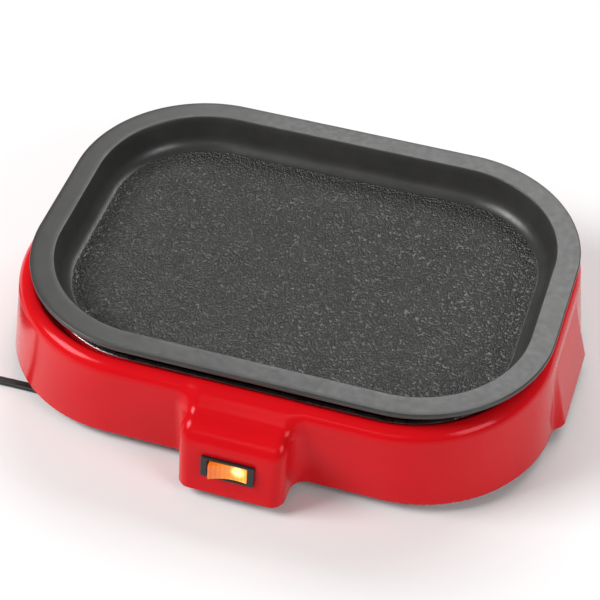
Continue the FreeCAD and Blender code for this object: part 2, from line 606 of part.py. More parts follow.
bez = sw_solid("sw_bezel", "-dims.bezel_wide / 2", "dims.bezel_wide / 2", "-dims.bezel_high / 2", "dims.bezel_high / 2", "0", "dims.bezel_thick")
bod = sw_solid("sw_body", "-dims.switch_wide / 2", "dims.switch_wide / 2", "-dims.switch_high / 2", "dims.switch_high / 2", "-dims.switch_deep", "0")
room = sw_solid("sw_room", "-11.8", "11.8", "-5.4", "5.4", "-14", "4")
piv = sw_rod("sw_pivot", (0, -8, PZ), FreeCAD.Rotation(V(1, 0, 0), -90), "dims.pivot_rad + 0.05", "16")
BLX = (-8.0, 0.0, 8.0)
slots = [sw_solid("sw_slot%d" % k, "%g" % (x - 0.4), "%g" % (x + 0.4), "-4.3", "0.5", "-19", "-13") for k, x in enumerate(BLX)]
keep(cut("switch_case", fuse("sw_solid", [bez, bod]), fuse("sw_gaps", [room, piv] + slots)), "switch_housing")
TOPZ = (-11.1, -10.1, -11.1)
keep(group("sw_blades", [sw_solid("sw_blade%d" % k, "%g" % (x - 0.4), "%g" % (x + 0.4), "-4.3", "0.5", "-27", "%g" % TOPZ[k]) for k, x in enumerate(BLX)]), "switch_terminals")
spades = []
for k, x in enumerate(BLX):
    a = sw_solid("spade_a%d" % k, "%g" % (x - 1.5), "%g" % (x + 1.5), "-5", "1.2", "-28", "-19")
    h = sw_solid("spade_h%d" % k, "%g" % (x - 0.4), "%g" % (x + 0.4), "-4.3", "0.5", "-27", "-18")
    spades.append(cut("spade%d" % k, a, h))
keep(group("spades", spades), "wire_spades")
keep(fuse("sw_lamp", [sw_rod("lamp_glass", (3.6, 3.3, -8.6), FreeCAD.Rotation(V(0, 1, 0), 90), "1.6", "6"),
                      sw_rod("lamp_lead", (2.8, 3.3, -8.6), FreeCAD.Rotation(V(0, 1, 0), 90), "0.6", "7.4")]), "switch_lamp")
# the rocker, drawn level: concave top, then tilted with its right end in, as it rests switched on
RH, RT = g("rocker_half"), g("rocker_tilt")
prof = [Part.LineSegment(V(-RH, 0, 4.2), V(-RH + 0.5, 0, -4.2)).toShape(), Part.LineSegment(V(-RH + 0.5, 0, -4.2), V(RH - 0.5, 0, -4.2)).toShape(),
        Part.LineSegment(V(RH - 0.5, 0, -4.2), V(RH, 0, 4.2)).toShape(), Part.Arc(V(RH, 0, 4.2), V(0, 0, 2.1), V(-RH, 0, 4.2)).toShape()]
rk = Part.Face(Part.Wire(Part.__sortEdges__(prof))).extrude(V(0, g("rocker_high"), 0)).translated(V(0, -g("rocker_high") / 2, 0))
rk = rk.cut(sw_box((-RH + 1.6, -g("rocker_high") / 2 + 1.2, -5), (RH - 1.6, g("rocker_high") / 2 - 1.2, 0.6)))
rk = rk.fuse(Part.makeBox(3.6, 3.6, 7.0, V(-1.8, -3.7, -6.0)))
rk = rk.cut(Part.makeCylinder(1.1, 6.0, V(0, -1.9, -6.4)))
for sgn in (-1, 1):
    rk = rk.fuse(Part.makeCylinder(g("pivot_rad"), 1.0, V(0, sgn * g("rocker_high") / 2 - (0.2 if sgn > 0 else -0.2), PZ), V(0, sgn, 0)))
rk = rk.removeSplitter()
tilt = FreeCAD.Placement(V(0, 0, 0), FreeCAD.Rotation(V(0, 1, 0), RT), V(0, 0, PZ))
feature("switch_rocker", rk, SWP.multiply(tilt))
pl = Part.makeCylinder(0.9, 4.0, V(0, -1.9, -7.6)).fuse(Part.makeSphere(0.9, V(0, -1.9, -7.6)))
feature("switch_plunger", pl.removeSplitter(), SWP.multiply(tilt))
helix = Part.makeHelix(0.55, 2.2, 0.75)
wire = Part.Wire(helix).makePipeShell([Part.Wire([Part.Circle(V(0.75, 0, 0), V(0, 1, 0), 0.14).toShape()])], True, True)
feature("switch_spring", wire, SWP.multiply(tilt).multiply(FreeCAD.Placement(V(0, -1.9, -3.4), FreeCAD.Rotation())))
LT = -7.0
lever = Part.makeBox(17.2, 3.0, 0.6, V(-8.6, -3.4, -9.7))
lever = lever.fuse(Part.makeCylinder(0.5, 0.35, V(-8.0, -1.9, -10.0)))
lever = lever.fuse(Part.makeCylinder(0.5, 0.35, V(8.0, -1.9, -10.0))).removeSplitter()
feature("switch_contact_lever", lever, SWP.multiply(FreeCAD.Placement(V(0, 0, 0), FreeCAD.Rotation(V(0, 1, 0), LT), V(0, 0, -9.7))))

# ---------------------------------------------------------------- lead, its bushing, clamp, coil and plug
cz, cy = 12.6, -94.0
neck = Part.makeCylinder(3.4, 1.6, V(-40, cy, cz), V(1, 0, 0))
flange = Part.makeCylinder(3.45, 1.4, V(-38.4, cy, cz), V(1, 0, 0))
collar = Part.makeCylinder(4.4, 1.6, V(-41.6, cy, cz), V(1, 0, 0))
cone = Part.makeCone(3.9, 3.1, 22, V(-41.6, cy, cz), V(-1, 0, 0))
slotbox = Part.makeBox(40, g("cord_wide"), g("cord_thick"), V(-70, cy - g("cord_wide") / 2, cz - g("cord_thick") / 2))
feature("cord_bushing", neck.fuse([flange, collar, cone]).cut(slotbox).removeSplitter())


def flat_section(p, t, wide, thick):
    """The two-core lead's section at p, flat side up: straight top and bottom, round sides."""
    side = V(-t.y, t.x, 0).normalize()
    up = t.cross(side).normalize()
    if up.z < 0:
        up = up * -1
    w, h = wide / 2 - thick / 2, thick / 2
    a, b_, c, d = p + side * w + up * h, p - side * w + up * h, p - side * w - up * h, p + side * w - up * h
    return Part.Wire([Part.LineSegment(a, b_).toShape(), Part.Arc(b_, p - side * (w + h), c).toShape(),
                      Part.LineSegment(c, d).toShape(), Part.Arc(d, p + side * (w + h), a).toShape()])


def flat_tube(path, wide, thick):
    e = path.Edges[0]
    sec = flat_section(e.valueAt(e.FirstParameter), e.tangentAt(e.FirstParameter), wide, thick)
    mk = Part.BRepOffsetAPI.MakePipeShell(path)
    mk.setBiNormalMode(V(0, 0, 1))
    mk.setTransitionMode(2)
    mk.add(sec)
    mk.build()
    mk.makeSolid()
    s_ = mk.shape()
    area = (wide - thick) * thick + math.pi * thick ** 2 / 4
    if abs(s_.Volume - area * path.Length) > 0.03 * area * path.Length:
        raise SystemExit("lead volume %.1f, expected %.1f" % (s_.Volume, area * path.Length))
    return s_


COIL = (-226.0, -55.0)
ROUTE = [(-41.6 - 22.0, cy, cz), (-75.0, -94.0, 12.0), (-88.0, -94.3, 7.6), (-101.0, -94.4, 2.9), (-116.0, -94.1, 1.5),
         (-140.0, -93.5, 1.5), (-172.0, -94.3, 1.5), (-210.0, -93.2, 1.5)]
lead = rounded_path(ROUTE, show="power_cord")
feature("power_cord", flat_tube(lead, g("cord_wide"), g("cord_thick")))
feature("cord_tail", Part.makeBox(18, g("cord_wide"), g("cord_thick"), V(-38.4 + 1.4 - 0.0, cy - g("cord_wide") / 2, cz - g("cord_thick") / 2)))
print("power_cord tube length", round(lead.Length, 1))
ring_in, ring_out = g("coil_rad") - g("coil_wide") / 2, g("coil_rad") + g("coil_wide") / 2
ring = Part.makeCylinder(ring_out, 6.2, V(COIL[0], COIL[1], 0)).cut(Part.makeCylinder(ring_in, 8, V(COIL[0], COIL[1], -1)))
ring = ring.makeFillet(1.3, [e for e in ring.Edges if e.BoundBox.ZLength < 0.01])
feature("cord_coil", ring)
tie_at = V(COIL[0], COIL[1] + g("coil_rad"), 0)
tie = Part.makeBox(7, g("coil_wide") + 1.6, 7.0, V(tie_at.x - 3.5, tie_at.y - g("coil_wide") / 2 - 0.8, 0))
tie = tie.cut(ring)
feature("cord_tie", tie)
px, py = COIL[0] - g("coil_rad"), COIL[1] - 14
body_ = Part.makeBox(21, 27, 12, V(px - 10.5, py, 6.2))
body_ = body_.makeFillet(3.0, [e for e in body_.Edges if e.BoundBox.YLength > 20])
nose = Part.makeBox(24, 3, 14, V(px - 12, py + 27, 5.2 + 1.0))
feature("plug_body", body_.fuse(nose).removeSplitter())
blades = [Part.makeBox(1.5, 18, 6.3, V(px + sx * 6.35 - 0.75, py + 30, 12.2 - 3.15)) for sx in (-1, 1)]
blades = [bl.makeFillet(0.6, [e for e in bl.Edges if e.BoundBox.XLength > 1 and e.BoundBox.YMin > py + 40]) for bl in blades]
feature("plug_blades", Part.makeCompound(blades))
cb = cut("clamp", block("clamp_block", (-33, -102.5, 9), (-26, -85.5, 16.4)), block("clamp_slot", (-34, cy - W / 2, cz - 1.4), (-25, cy + W / 2, cz + 1.4)))
cb = cut("clamp_b", cb, fuse("clamp_holes", [rod("clamp_h%d" % k, "z", (-29.5, y, 8), "1.5", "10") for k, y in enumerate((-99.8, -88.2))]))
keep(cb, "cord_clamp")
keep(group("clamp_screws_", [fuse("clamp_screw%d" % k, [rod("cs_a%d" % k, "z", (-29.5, y, 9), "1.5", "7.4"), rod("cs_b%d" % k, "z", (-29.5, y, 16.4), "2.6", "1.8")]) for k, y in enumerate((-99.8, -88.2))]), "clamp_screws")

# ---------------------------------------------------------------- wires
WR = g("wire_rad")


def wire_end(x, back=0.0):
    """Where a wire meets the back of a push-on connector, or that far behind it, in the plate's frame."""
    p = SWP.multVec(V(x, -1.9, -28.0 - back)) - V(0, YC, 0)
    return (p.x, p.y, p.z)


WIRES = {
    "wire_line": [(-19, -95.4, 12.6), (-15, -95.4, 12.6), (-9.5, -99.5, 16), wire_end(-8, 4), wire_end(-8)],
    "wire_load": [wire_end(0), wire_end(0, 4), (1, -91, 12), (4, -70, 11.5), (1.5, -49, 12), (1.4, -45, 17), (1.4, -45, 23.5), (5, -32, 24), (5, -20, 24.2), (5, -20, 28)],
    "wire_thermostat": [(-5, -20, 28), (-5, -20, 24.2), (-5, -32, 24), (-1.4, -45, 23.5), (-1.4, -45, 17), (-4, -52, 12), (-16, -66, 11.6), (-22, -80, 15), (-22, -97, 17.6), (-18, -111, 22), (-18, -111, 32.9)],
    "wire_neutral": [(-19, -92.6, 12.6), (-15.5, -92.6, 12.6), (-11, -86, 16.7), (0, -78.4, 16.9), (6, -77.9, 16.9), (12, -77.9, 16.9)],
    "wire_lamp": [wire_end(8), wire_end(8, 4), (7.4, -92, 15.6), (7.6, -83, 16.6), (9.0, -80.1, 16.9), (12, -80.1, 16.9)],
    "wire_fuse_in": [(19, -79, 16.9), (22.5, -79, 16.9), (27.5, -72, 16.2), (31, -72, 16.2)],
    "wire_fuse_out": [(55, -72, 16.2), (59, -72, 16.2), (63, -84, 14), (50, -104, 14), (24, -107, 20), (18, -111, 25), (18, -111, 32.9)],
}
for name, pts in WIRES.items():
    feature(name, tube(rounded_path(pts, share=0.4), WR))
feature("neutral_splice", Part.makeCylinder(2.3, 7, V(12, -79, 16.9), V(1, 0, 0)))

# ---------------------------------------------------------------- feet and fasteners
feet = [fuse("foot%d" % k, [rod("ft_a%d" % k, "z", (x, y, 0), "dims.foot_rad", "dims.shell_foot"), rod("ft_b%d" % k, "z", (x, y, 6.5), "3", "2.5"),
                            rod("ft_c%d" % k, "z", (x, y, 9.0), "4.2", "1.4")]) for k, (x, y) in enumerate(FEET)]
keep(group("feet", feet), "rubber_feet")
hs = []
for k, (x, y) in enumerate(BOSS):
    hs.append(fuse("hscrew%d" % k, [rod("hs_a%d" % k, "z", (x, y, 4.7), "3", "1.8"), rod("hs_b%d" % k, "z", (x, y, 6.5), "1.4", "17")]))
keep(group("hscrews", hs), "housing_screws")
ss = []
for k, (x, y) in enumerate(POSTS):
    ss.append(fuse("sscrew%d" % k, [rod("ss_a%d" % k, "z", (x, y, z0), "3.6", "2.2"), rod("ss_b%d" % k, "z", (x, y, 13), "1.5", "8")]))
keep(group("sscrews", ss), "shield_screws")

# ---------------------------------------------------------------- checks, then the files
doc.recompute()
bad = [o.Name for o in doc.Objects if set(o.State) & {"Invalid", "Error"}]
if bad:
    raise SystemExit("failed objects: %s" % bad)
for o in PARTS:
    if o.Shape.isNull() or not o.Shape.isValid() or not o.Shape.Solids:
        raise SystemExit("bad shape: %s" % o.Label)
os.makedirs("parts", exist_ok=True)
for o in PARTS:
    o.Shape.exportStep("parts/%s.step" % o.Label)
    bb = o.Shape.BoundBox
    print("%-22s solids %d vol %9.1f  x %.1f..%.1f y %.1f..%.1f z %.1f..%.1f" % (o.Label, len(o.Shape.Solids), o.Shape.Volume, bb.XMin, bb.XMax, bb.YMin, bb.YMax, bb.ZMin, bb.ZMax))
print(len(PARTS), "nodes")
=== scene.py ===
import json
import math
import bpy
import numpy as np
from mathutils import Vector, Matrix


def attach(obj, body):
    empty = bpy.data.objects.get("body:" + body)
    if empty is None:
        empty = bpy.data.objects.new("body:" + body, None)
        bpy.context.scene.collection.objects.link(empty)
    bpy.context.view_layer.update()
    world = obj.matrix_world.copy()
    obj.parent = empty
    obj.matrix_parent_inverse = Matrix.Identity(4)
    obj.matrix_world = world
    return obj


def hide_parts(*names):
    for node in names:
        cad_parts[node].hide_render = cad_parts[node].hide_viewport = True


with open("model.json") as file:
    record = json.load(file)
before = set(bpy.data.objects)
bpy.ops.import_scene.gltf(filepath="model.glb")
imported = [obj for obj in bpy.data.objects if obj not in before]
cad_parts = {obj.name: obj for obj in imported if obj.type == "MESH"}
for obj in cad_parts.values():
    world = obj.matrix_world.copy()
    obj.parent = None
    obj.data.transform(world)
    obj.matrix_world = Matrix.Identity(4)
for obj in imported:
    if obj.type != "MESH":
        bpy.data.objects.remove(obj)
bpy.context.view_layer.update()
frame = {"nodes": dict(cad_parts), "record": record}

YC = 12.5                      # the housing's centre in the row frame, mm; lengths below are mm from that centre
DX = 2.7                       # the loose plate lies this far to the right of it
A_, B_, R_ = 154.0, 110.3, 80.5
WALL = (163.0, 116.5, 80.8)
CREST = (149.5, 108.5, 77.0)
SC = bpy.context.scene
RNG = np.random.RandomState(7)


# ------------------------------------------------------------------ camera
def camera():
    az, el, roll = math.radians(16.33), math.radians(44.66), math.radians(1.37)
    look = Vector((9.24 + DX, -42.97 + YC, 72.0)) / 1000
    d = Vector((math.sin(az) * math.cos(el), -math.cos(az) * math.cos(el), math.sin(el)))
    pos = look + d * 1.1442
    fwd = -d
    right = fwd.cross(Vector((0, 0, 1))).normalized()
    up = right.cross(fwd)
    r2 = right * math.cos(roll) + up * math.sin(roll)
    u2 = -right * math.sin(roll) + up * math.cos(roll)
    cam = bpy.data.cameras.new("camera")
    cam.sensor_width = 36
    cam.lens = 2028.0 / 600 * 36
    cam.clip_end = 50
    ob = bpy.data.objects.new("camera", cam)
    m = Matrix((r2, u2, d)).transposed().to_4x4()
    m.translation = pos
    ob.matrix_world = m
    SC.collection.objects.link(ob)
    SC.camera = ob
    return ob


camera()


# ------------------------------------------------------------------ materials
def base_material(name):
    m = bpy.data.materials.new(name)
    m.use_nodes = True
    nt = m.node_tree
    b = nt.nodes["Principled BSDF"]
    tc = nt.nodes.new("ShaderNodeTexCoord")
    return m, nt, b, tc.outputs["Object"]


def put(b, **k):
    for n, v in k.items():
        n = n.replace("_", " ")
        if n in b.inputs:
            b.inputs[n].default_value = v


def noise(nt, co, scale, detail=2.0, rough=0.5, vec=None):
    n = nt.nodes.new("ShaderNodeTexNoise")
    n.inputs["Scale"].default_value = scale
    n.inputs["Detail"].default_value = detail
    n.inputs["Roughness"].default_value = rough
    if vec:
        mp = nt.nodes.new("ShaderNodeMapping")
        mp.inputs["Scale"].default_value = vec
        nt.links.new(co, mp.inputs["Vector"])
        co = mp.outputs["Vector"]
    nt.links.new(co, n.inputs["Vector"])
    return n.outputs["Fac"]


def ramp(nt, fac, a, b_, ca, cb):
    r = nt.nodes.new("ShaderNodeValToRGB")
    r.color_ramp.elements[0].position = a
    r.color_ramp.elements[1].position = b_
    r.color_ramp.elements[0].color = (*ca, 1) if len(ca) == 3 else ca
    r.color_ramp.elements[1].color = (*cb, 1) if len(cb) == 3 else cb
    nt.links.new(fac, r.inputs["Fac"])
    return r.outputs["Color"]


def span(nt, fac, lo, hi):
    m = nt.nodes.new("ShaderNodeMapRange")
    m.inputs["To Min"].default_value = lo
    m.inputs["To Max"].default_value = hi
    m.inputs["From Min"].default_value = 0.3
    m.inputs["From Max"].default_value = 0.7
    nt.links.new(fac, m.inputs["Value"])
    return m.outputs["Result"]


def bump(nt, b, fac, strength, dist, before=None):
    n = nt.nodes.new("ShaderNodeBump")
    n.inputs["Strength"].default_value = strength
    n.inputs["Distance"].default_value = dist
    nt.links.new(fac, n.inputs["Height"])
    if before is not None:
        nt.links.new(before, n.inputs["Normal"])
    nt.links.new(n.outputs["Normal"], b.inputs["Normal"])
    return n.outputs["Normal"]


def simple(name, col, rough, metal=0.0, grain=900.0, depth=0.00004, strength=0.25, vary=0.12, spread=0.08, stretch=None, **k):
    """A surface with fine grain, a little cloudiness in its colour and some wear in its gloss."""
    m, nt, b, co = base_material(name)
    put(b, Metallic=metal, **k)
    cloud = noise(nt, co, 45.0, 4.0, 0.6)
    nt.links.new(ramp(nt, cloud, 0.3, 0.7, [c * (1 - vary) for c in col], [min(1, c * (1 + vary)) for c in col]), b.inputs["Base Color"])
    nt.links.new(span(nt, noise(nt, co, 160.0, 3.0, 0.6, stretch), max(0.02, rough - spread), min(1, rough + spread)), b.inputs["Roughness"])
    bump(nt, b, noise(nt, co, grain, 3.0, 0.6, stretch), strength, depth)
    return m


def red_material():
    m, nt, b, co = base_material("red_gloss")
    put(b, **{"Coat_Weight": 0.0, "Specular_IOR_Level": 0.30, "Specular_Tint": (1.0, 0.42, 0.48, 1), "IOR": 1.5, "Subsurface_Weight": 0.0})
    cloud = noise(nt, co, 14.0, 3.0, 0.5)
    nt.links.new(ramp(nt, cloud, 0.3, 0.7, (0.61, 0.004, 0.008), (0.67, 0.005, 0.009)), b.inputs["Base Color"])
    nt.links.new(span(nt, noise(nt, co, 120.0, 4.0, 0.6), 0.14, 0.19), b.inputs["Roughness"])
    w = bump(nt, b, noise(nt, co, 26.0, 1.0, 0.4), 0.10, 0.0004)
    bump(nt, b, noise(nt, co, 900.0, 2.0, 0.5), 0.04, 0.00003, w)
    return m


def nonstick_material():
    """Dark cast coating: satin everywhere, with fine specks."""
    m, nt, b, co = base_material("nonstick")
    put(b, Metallic=0.0, IOR=1.5)
    put(b, **{"Specular_IOR_Level": 0.5})
    v = nt.nodes.new("ShaderNodeTexVoronoi")
    v.inputs["Scale"].default_value = 620.0
    nt.links.new(co, v.inputs["Vector"])
    speck = ramp(nt, v.outputs["Distance"], 0.05, 0.16, (1, 1, 1), (0, 0, 0))
    pick = ramp(nt, noise(nt, co, 700.0, 1.0), 0.56, 0.62, (0, 0, 0), (1, 1, 1))
    mul = nt.nodes.new("ShaderNodeMix")
    mul.data_type = "RGBA"
    mul.blend_type = "MULTIPLY"
    mul.inputs[0].default_value = 1.0
    nt.links.new(speck, mul.inputs[6])
    nt.links.new(pick, mul.inputs[7])
    base = ramp(nt, noise(nt, co, 60.0, 4.0, 0.6), 0.3, 0.7, (0.030, 0.029, 0.028), (0.041, 0.040, 0.0385))
    mix = nt.nodes.new("ShaderNodeMix")
    mix.data_type = "RGBA"
    nt.links.new(mul.outputs[2], mix.inputs[0])
    nt.links.new(base, mix.inputs[6])
    mix.inputs[7].default_value = (0.10, 0.10, 0.10, 1)
    nt.links.new(mix.outputs[2], b.inputs["Base Color"])
    nt.links.new(span(nt, noise(nt, co, 260.0, 4.0, 0.6), 0.30, 0.40), b.inputs["Roughness"])
    w = bump(nt, b, noise(nt, co, 1500.0, 3.0, 0.6), 0.30, 0.00005)
    # grains, only on the pan's floor
    g = nt.nodes.new("ShaderNodeTexVoronoi")
    g.feature = "SMOOTH_F1"
    g.inputs["Scale"].default_value = 780.0
    g.inputs["Smoothness"].default_value = 0.2
    g.inputs["Randomness"].default_value = 0.8
    nt.links.new(co, g.inputs["Vector"])
    dome = ramp(nt, g.outputs["Distance"], 0.05, 0.75, (1, 1, 1), (0, 0, 0))
    sz = nt.nodes.new("ShaderNodeSeparateXYZ")
    nt.links.new(co, sz.inputs[0])
    low = nt.nodes.new("ShaderNodeMapRange")
    low.inputs["From Min"].default_value = 0.0520
    low.inputs["From Max"].default_value = 0.0514
    nt.links.new(sz.outputs["Z"], low.inputs["Value"])
    gm = nt.nodes.new("ShaderNodeMath")
    gm.operation = "MULTIPLY"
    nt.links.new(dome, gm.inputs[0])
    nt.links.new(low.outputs["Result"], gm.inputs[1])
    bump(nt, b, gm.outputs[0], 1.0, 0.0010, w)
    return m


def amber_material(z_mid):
    """Translucent amber, lit from inside: brightest near its right end."""
    m, nt, b, co = base_material("amber_lit")
    put(b, Roughness=0.16, IOR=1.49)
    put(b, **{"Transmission_Weight": 0.15, "Subsurface_Weight": 0.35, "Subsurface_Scale": 0.004, "Coat_Weight": 0.5})
    b.inputs["Subsurface Radius"].default_value = (1.0, 0.3, 0.05)
    sx = nt.nodes.new("ShaderNodeSeparateXYZ")
    nt.links.new(co, sx.inputs[0])
    mr = nt.nodes.new("ShaderNodeMapRange")
    mr.inputs["From Min"].default_value = -0.0108
    mr.inputs["From Max"].default_value = 0.0122
    nt.links.new(sx.outputs["X"], mr.inputs["Value"])
    add = nt.nodes.new("ShaderNodeMath")
    add.operation = "ADD"
    nt.links.new(mr.outputs["Result"], add.inputs[0])
    nz = nt.nodes.new("ShaderNodeMath")
    nz.operation = "MULTIPLY"
    nz.inputs[1].default_value = 0.12
    nt.links.new(noise(nt, co, 220.0, 3.0, 0.6), nz.inputs[0])
    nt.links.new(nz.outputs[0], add.inputs[1])
    r = nt.nodes.new("ShaderNodeValToRGB")
    r.color_ramp.elements[0].position = 0.05
    r.color_ramp.elements[0].color = (0.80, 0.16, 0.008, 1)
    r.color_ramp.elements[1].position = 0.95
    r.color_ramp.elements[1].color = (0.95, 0.42, 0.035, 1)
    e = r.color_ramp.elements.new(0.6)
    e.color = (0.92, 0.27, 0.015, 1)
    nt.links.new(add.outputs[0], r.inputs["Fac"])
    nt.links.new(r.outputs["Color"], b.inputs["Base Color"])
    s = nt.nodes.new("ShaderNodeMapRange")
    s.inputs["To Min"].default_value = 0.12
    s.inputs["To Max"].default_value = 0.50
    nt.links.new(add.outputs[0], s.inputs["Value"])
    # the lamp behind it: a small hot spot right of the middle
    far = nt.nodes.new("ShaderNodeVectorMath")
    far.operation = "DISTANCE"
    far.inputs[1].default_value = (0.0072, -0.1265, 0.0292)
    nt.links.new(co, far.inputs[0])
    hot = nt.nodes.new("ShaderNodeMapRange")
    hot.interpolation_type = "SMOOTHERSTEP"
    hot.inputs["From Min"].default_value = 0.0062
    hot.inputs["From Max"].default_value = 0.0012
    hot.inputs["To Max"].default_value = 1.0
    nt.links.new(far.outputs["Value"], hot.inputs["Value"])
    glow = nt.nodes.new("ShaderNodeMix")
    glow.data_type = "RGBA"
    nt.links.new(hot.outputs["Result"], glow.inputs[0])
    nt.links.new(r.outputs["Color"], glow.inputs[6])
    glow.inputs[7].default_value = (1.0, 0.80, 0.38, 1)
    nt.links.new(glow.outputs[2], b.inputs["Emission Color"])
    wv = nt.nodes.new("ShaderNodeTexWave")
    wv.inputs["Scale"].default_value = 130.0
    wv.inputs["Distortion"].default_value = 1.2
    nt.links.new(co, wv.inputs["Vector"])
    lines = nt.nodes.new("ShaderNodeMapRange")
    lines.inputs["To Min"].default_value = 0.55
    lines.inputs["To Max"].default_value = 1.1
    nt.links.new(wv.outputs["Fac"], lines.inputs["Value"])
    gl = nt.nodes.new("ShaderNodeMath")
    gl.operation = "MULTIPLY"
    nt.links.new(s.outputs["Result"], gl.inputs[0])
    nt.links.new(lines.outputs["Result"], gl.inputs[1])
    em = nt.nodes.new("ShaderNodeMath")
    em.operation = "ADD"
    nt.links.new(gl.outputs[0], em.inputs[0])
    nt.links.new(hot.outputs["Result"], em.inputs[1])
    nt.links.new(em.outputs[0], b.inputs["Emission Strength"])
    bump(nt, b, noise(nt, co, 500.0, 2.0), 0.08, 0.00004)
    return m


RED = red_material()
NONSTICK = nonstick_material()
BLACK = simple("black_moulded", (0.018, 0.017, 0.017), 0.5, grain=1400.0, depth=0.00006, strength=0.4)
PAN = simple("pan_enamel", (0.016, 0.015, 0.015), 0.32, grain=700.0, depth=0.00005, strength=0.3)
LIP = simple("bare_lip", (0.62, 0.61, 0.60), 0.3, 1.0, grain=500.0, depth=0.00003, stretch=(1, 1, 20))
STEEL = simple("sheet_steel", (0.58, 0.57, 0.55), 0.33, 1.0, grain=420.0, depth=0.00003, stretch=(1, 1, 14))
HEATER = simple("heater_sheath", (0.16, 0.145, 0.13), 0.42, 0.9, grain=500.0, depth=0.00005, vary=0.3)
BRASS = simple("brass", (0.72, 0.52, 0.22), 0.3, 1.0, grain=600.0, depth=0.00002)
CERAMIC = simple("ceramic", (0.72, 0.69, 0.62), 0.55, grain=900.0, depth=0.00006, strength=0.4)
PHENOL = simple("phenolic", (0.05, 0.035, 0.03), 0.45, grain=1200.0, depth=0.00005)
RUBBER = simple("rubber", (0.022, 0.021, 0.021), 0.72, grain=1600.0, depth=0.00008, strength=0.5)
BEZEL = simple("bezel_black", (0.012, 0.012, 0.013), 0.24, grain=1300.0, depth=0.00004, strength=0.2, spread=0.05)
WIRE = simple("wire_sleeve", (0.70, 0.67, 0.60), 0.55, grain=1500.0, depth=0.00008, strength=0.4)
CORD = simple("cord_vinyl", (0.020, 0.019, 0.019), 0.42, grain=1500.0, depth=0.00005, strength=0.35)
LAMP = simple("lamp_glass", (0.95, 0.45, 0.15), 0.1, grain=400.0, depth=0.00001, Alpha=1.0)
PER_SLOT = {"black_plastic": BLACK, "pan_black": PAN, "heater_steel": HEATER, "bright_steel": STEEL, "ceramic": CERAMIC,
            "phenolic": PHENOL, "brass_parts": BRASS, "rubber_parts": RUBBER, "switch_black": BEZEL, "insulation": WIRE,
            "lamp_glass": LAMP, "rocker_amber": None, "cord_black": CORD, "tie_black": BLACK, "red_shell": RED, "nonstick": NONSTICK}
AMBER = amber_material(27.3)
PER_SLOT["rocker_amber"] = AMBER
slot_of = {s["node"]: s["material_slot"] for s in frame["record"]["subparts"]}
for node, ob in frame["nodes"].items():
    if slot_of.get(node) in PER_SLOT:
        if not ob.material_slots:
            ob.data.materials.append(PER_SLOT[slot_of[node]])
        for ms in ob.material_slots:
            ms.material = PER_SLOT[slot_of[node]]


# ------------------------------------------------------------------ mesh helpers
def make(name, verts, faces, mat, body, nodes=(), smooth=True, normals=None, sharp=None):
    """verts in mm from the plate's centre."""
    v = np.asarray(verts, dtype=float).copy()
    v[:, 1] += YC
    v /= 1000.0
    me = bpy.data.meshes.new(name)
    me.from_pydata(v.tolist(), [], [list(map(int, f)) for f in faces])
    me.validate()
    ob = bpy.data.objects.new(name, me)
    SC.collection.objects.link(ob)
    for mm in (mat if isinstance(mat, (list, tuple)) else [mat]):
        me.materials.append(mm)
    if smooth:
        me.polygons.foreach_set("use_smooth", [True] * len(me.polygons))
    if normals is not None:
        me.normals_split_custom_set_from_vertices([tuple(x) for x in normals])
    elif sharp:
        me.set_sharp_from_angle(angle=math.radians(sharp))
    me.update()
    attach(ob, body)
    if nodes:
        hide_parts(*nodes)
    return ob


def ring_points(step_arc, step_line):
    """Points and outward normals round the rim's outline, anticlockwise from the middle of the right side."""
    cx, cy = A_ - R_, B_ - R_
    P, N = [], []

    def line(p, q, n):
        k = max(1, int(round(math.dist(p, q) / step_line)))
        for i in range(k):
            t = i / k
            P.append((p[0] + (q[0] - p[0]) * t, p[1] + (q[1] - p[1]) * t))
            N.append(n)

    def arc(c, a0):
        k = max(2, int(round(R_ * math.pi / 2 / step_arc)))
        for i in range(k):
            a = math.radians(a0 + 90.0 * i / k)
            P.append((c[0] + R_ * math.cos(a), c[1] + R_ * math.sin(a)))
            N.append((math.cos(a), math.sin(a)))
    line((A_, -cy), (A_, cy), (1, 0)); arc((cx, cy), 0)
    line((cx, B_), (-cx, B_), (0, 1)); arc((-cx, cy), 90)
    line((-A_, cy), (-A_, -cy), (-1, 0)); arc((-cx, -cy), 180)
    line((-cx, -B_), (cx, -B_), (0, -1)); arc((cx, -cy), 270)
    return np.array(P), np.array(N)


def arc2(c, r, a0, a1, n):
    return [(c[0] + r * math.cos(math.radians(a0 + (a1 - a0) * i / n)), c[1] + r * math.sin(math.radians(a0 + (a1 - a0) * i / n))) for i in range(n + 1)]


def sweep(profile, P, N, closed=True):
    """Rings of (o, z) round the outline, as verts and quads."""
    V, F, n = [], [], len(P)
    for o, z in profile:
        V.append(np.column_stack([P + N * o, np.full(n, z)]))
    m = len(profile)
    for j in range(m if closed else m - 1):
        a, b = j * n, ((j + 1) % m) * n
        i = np.arange(n)
        k = (i + 1) % n
        F.append(np.column_stack([a + i, a + k, b + k, b + i]))
    return np.vstack(V), np.vstack(F)


def smooth_line(pts, step):
    """Cuts a polyline's runs into pieces no longer than step."""
    out = [pts[0]]
    for p, q in zip(pts, pts[1:]):
        k = max(1, int(math.ceil(math.dist(p, q) / step)))
        out += [(p[0] + (q[0] - p[0]) * i / k, p[1] + (q[1] - p[1]) * i / k) for i in range(1, k + 1)]
    return out


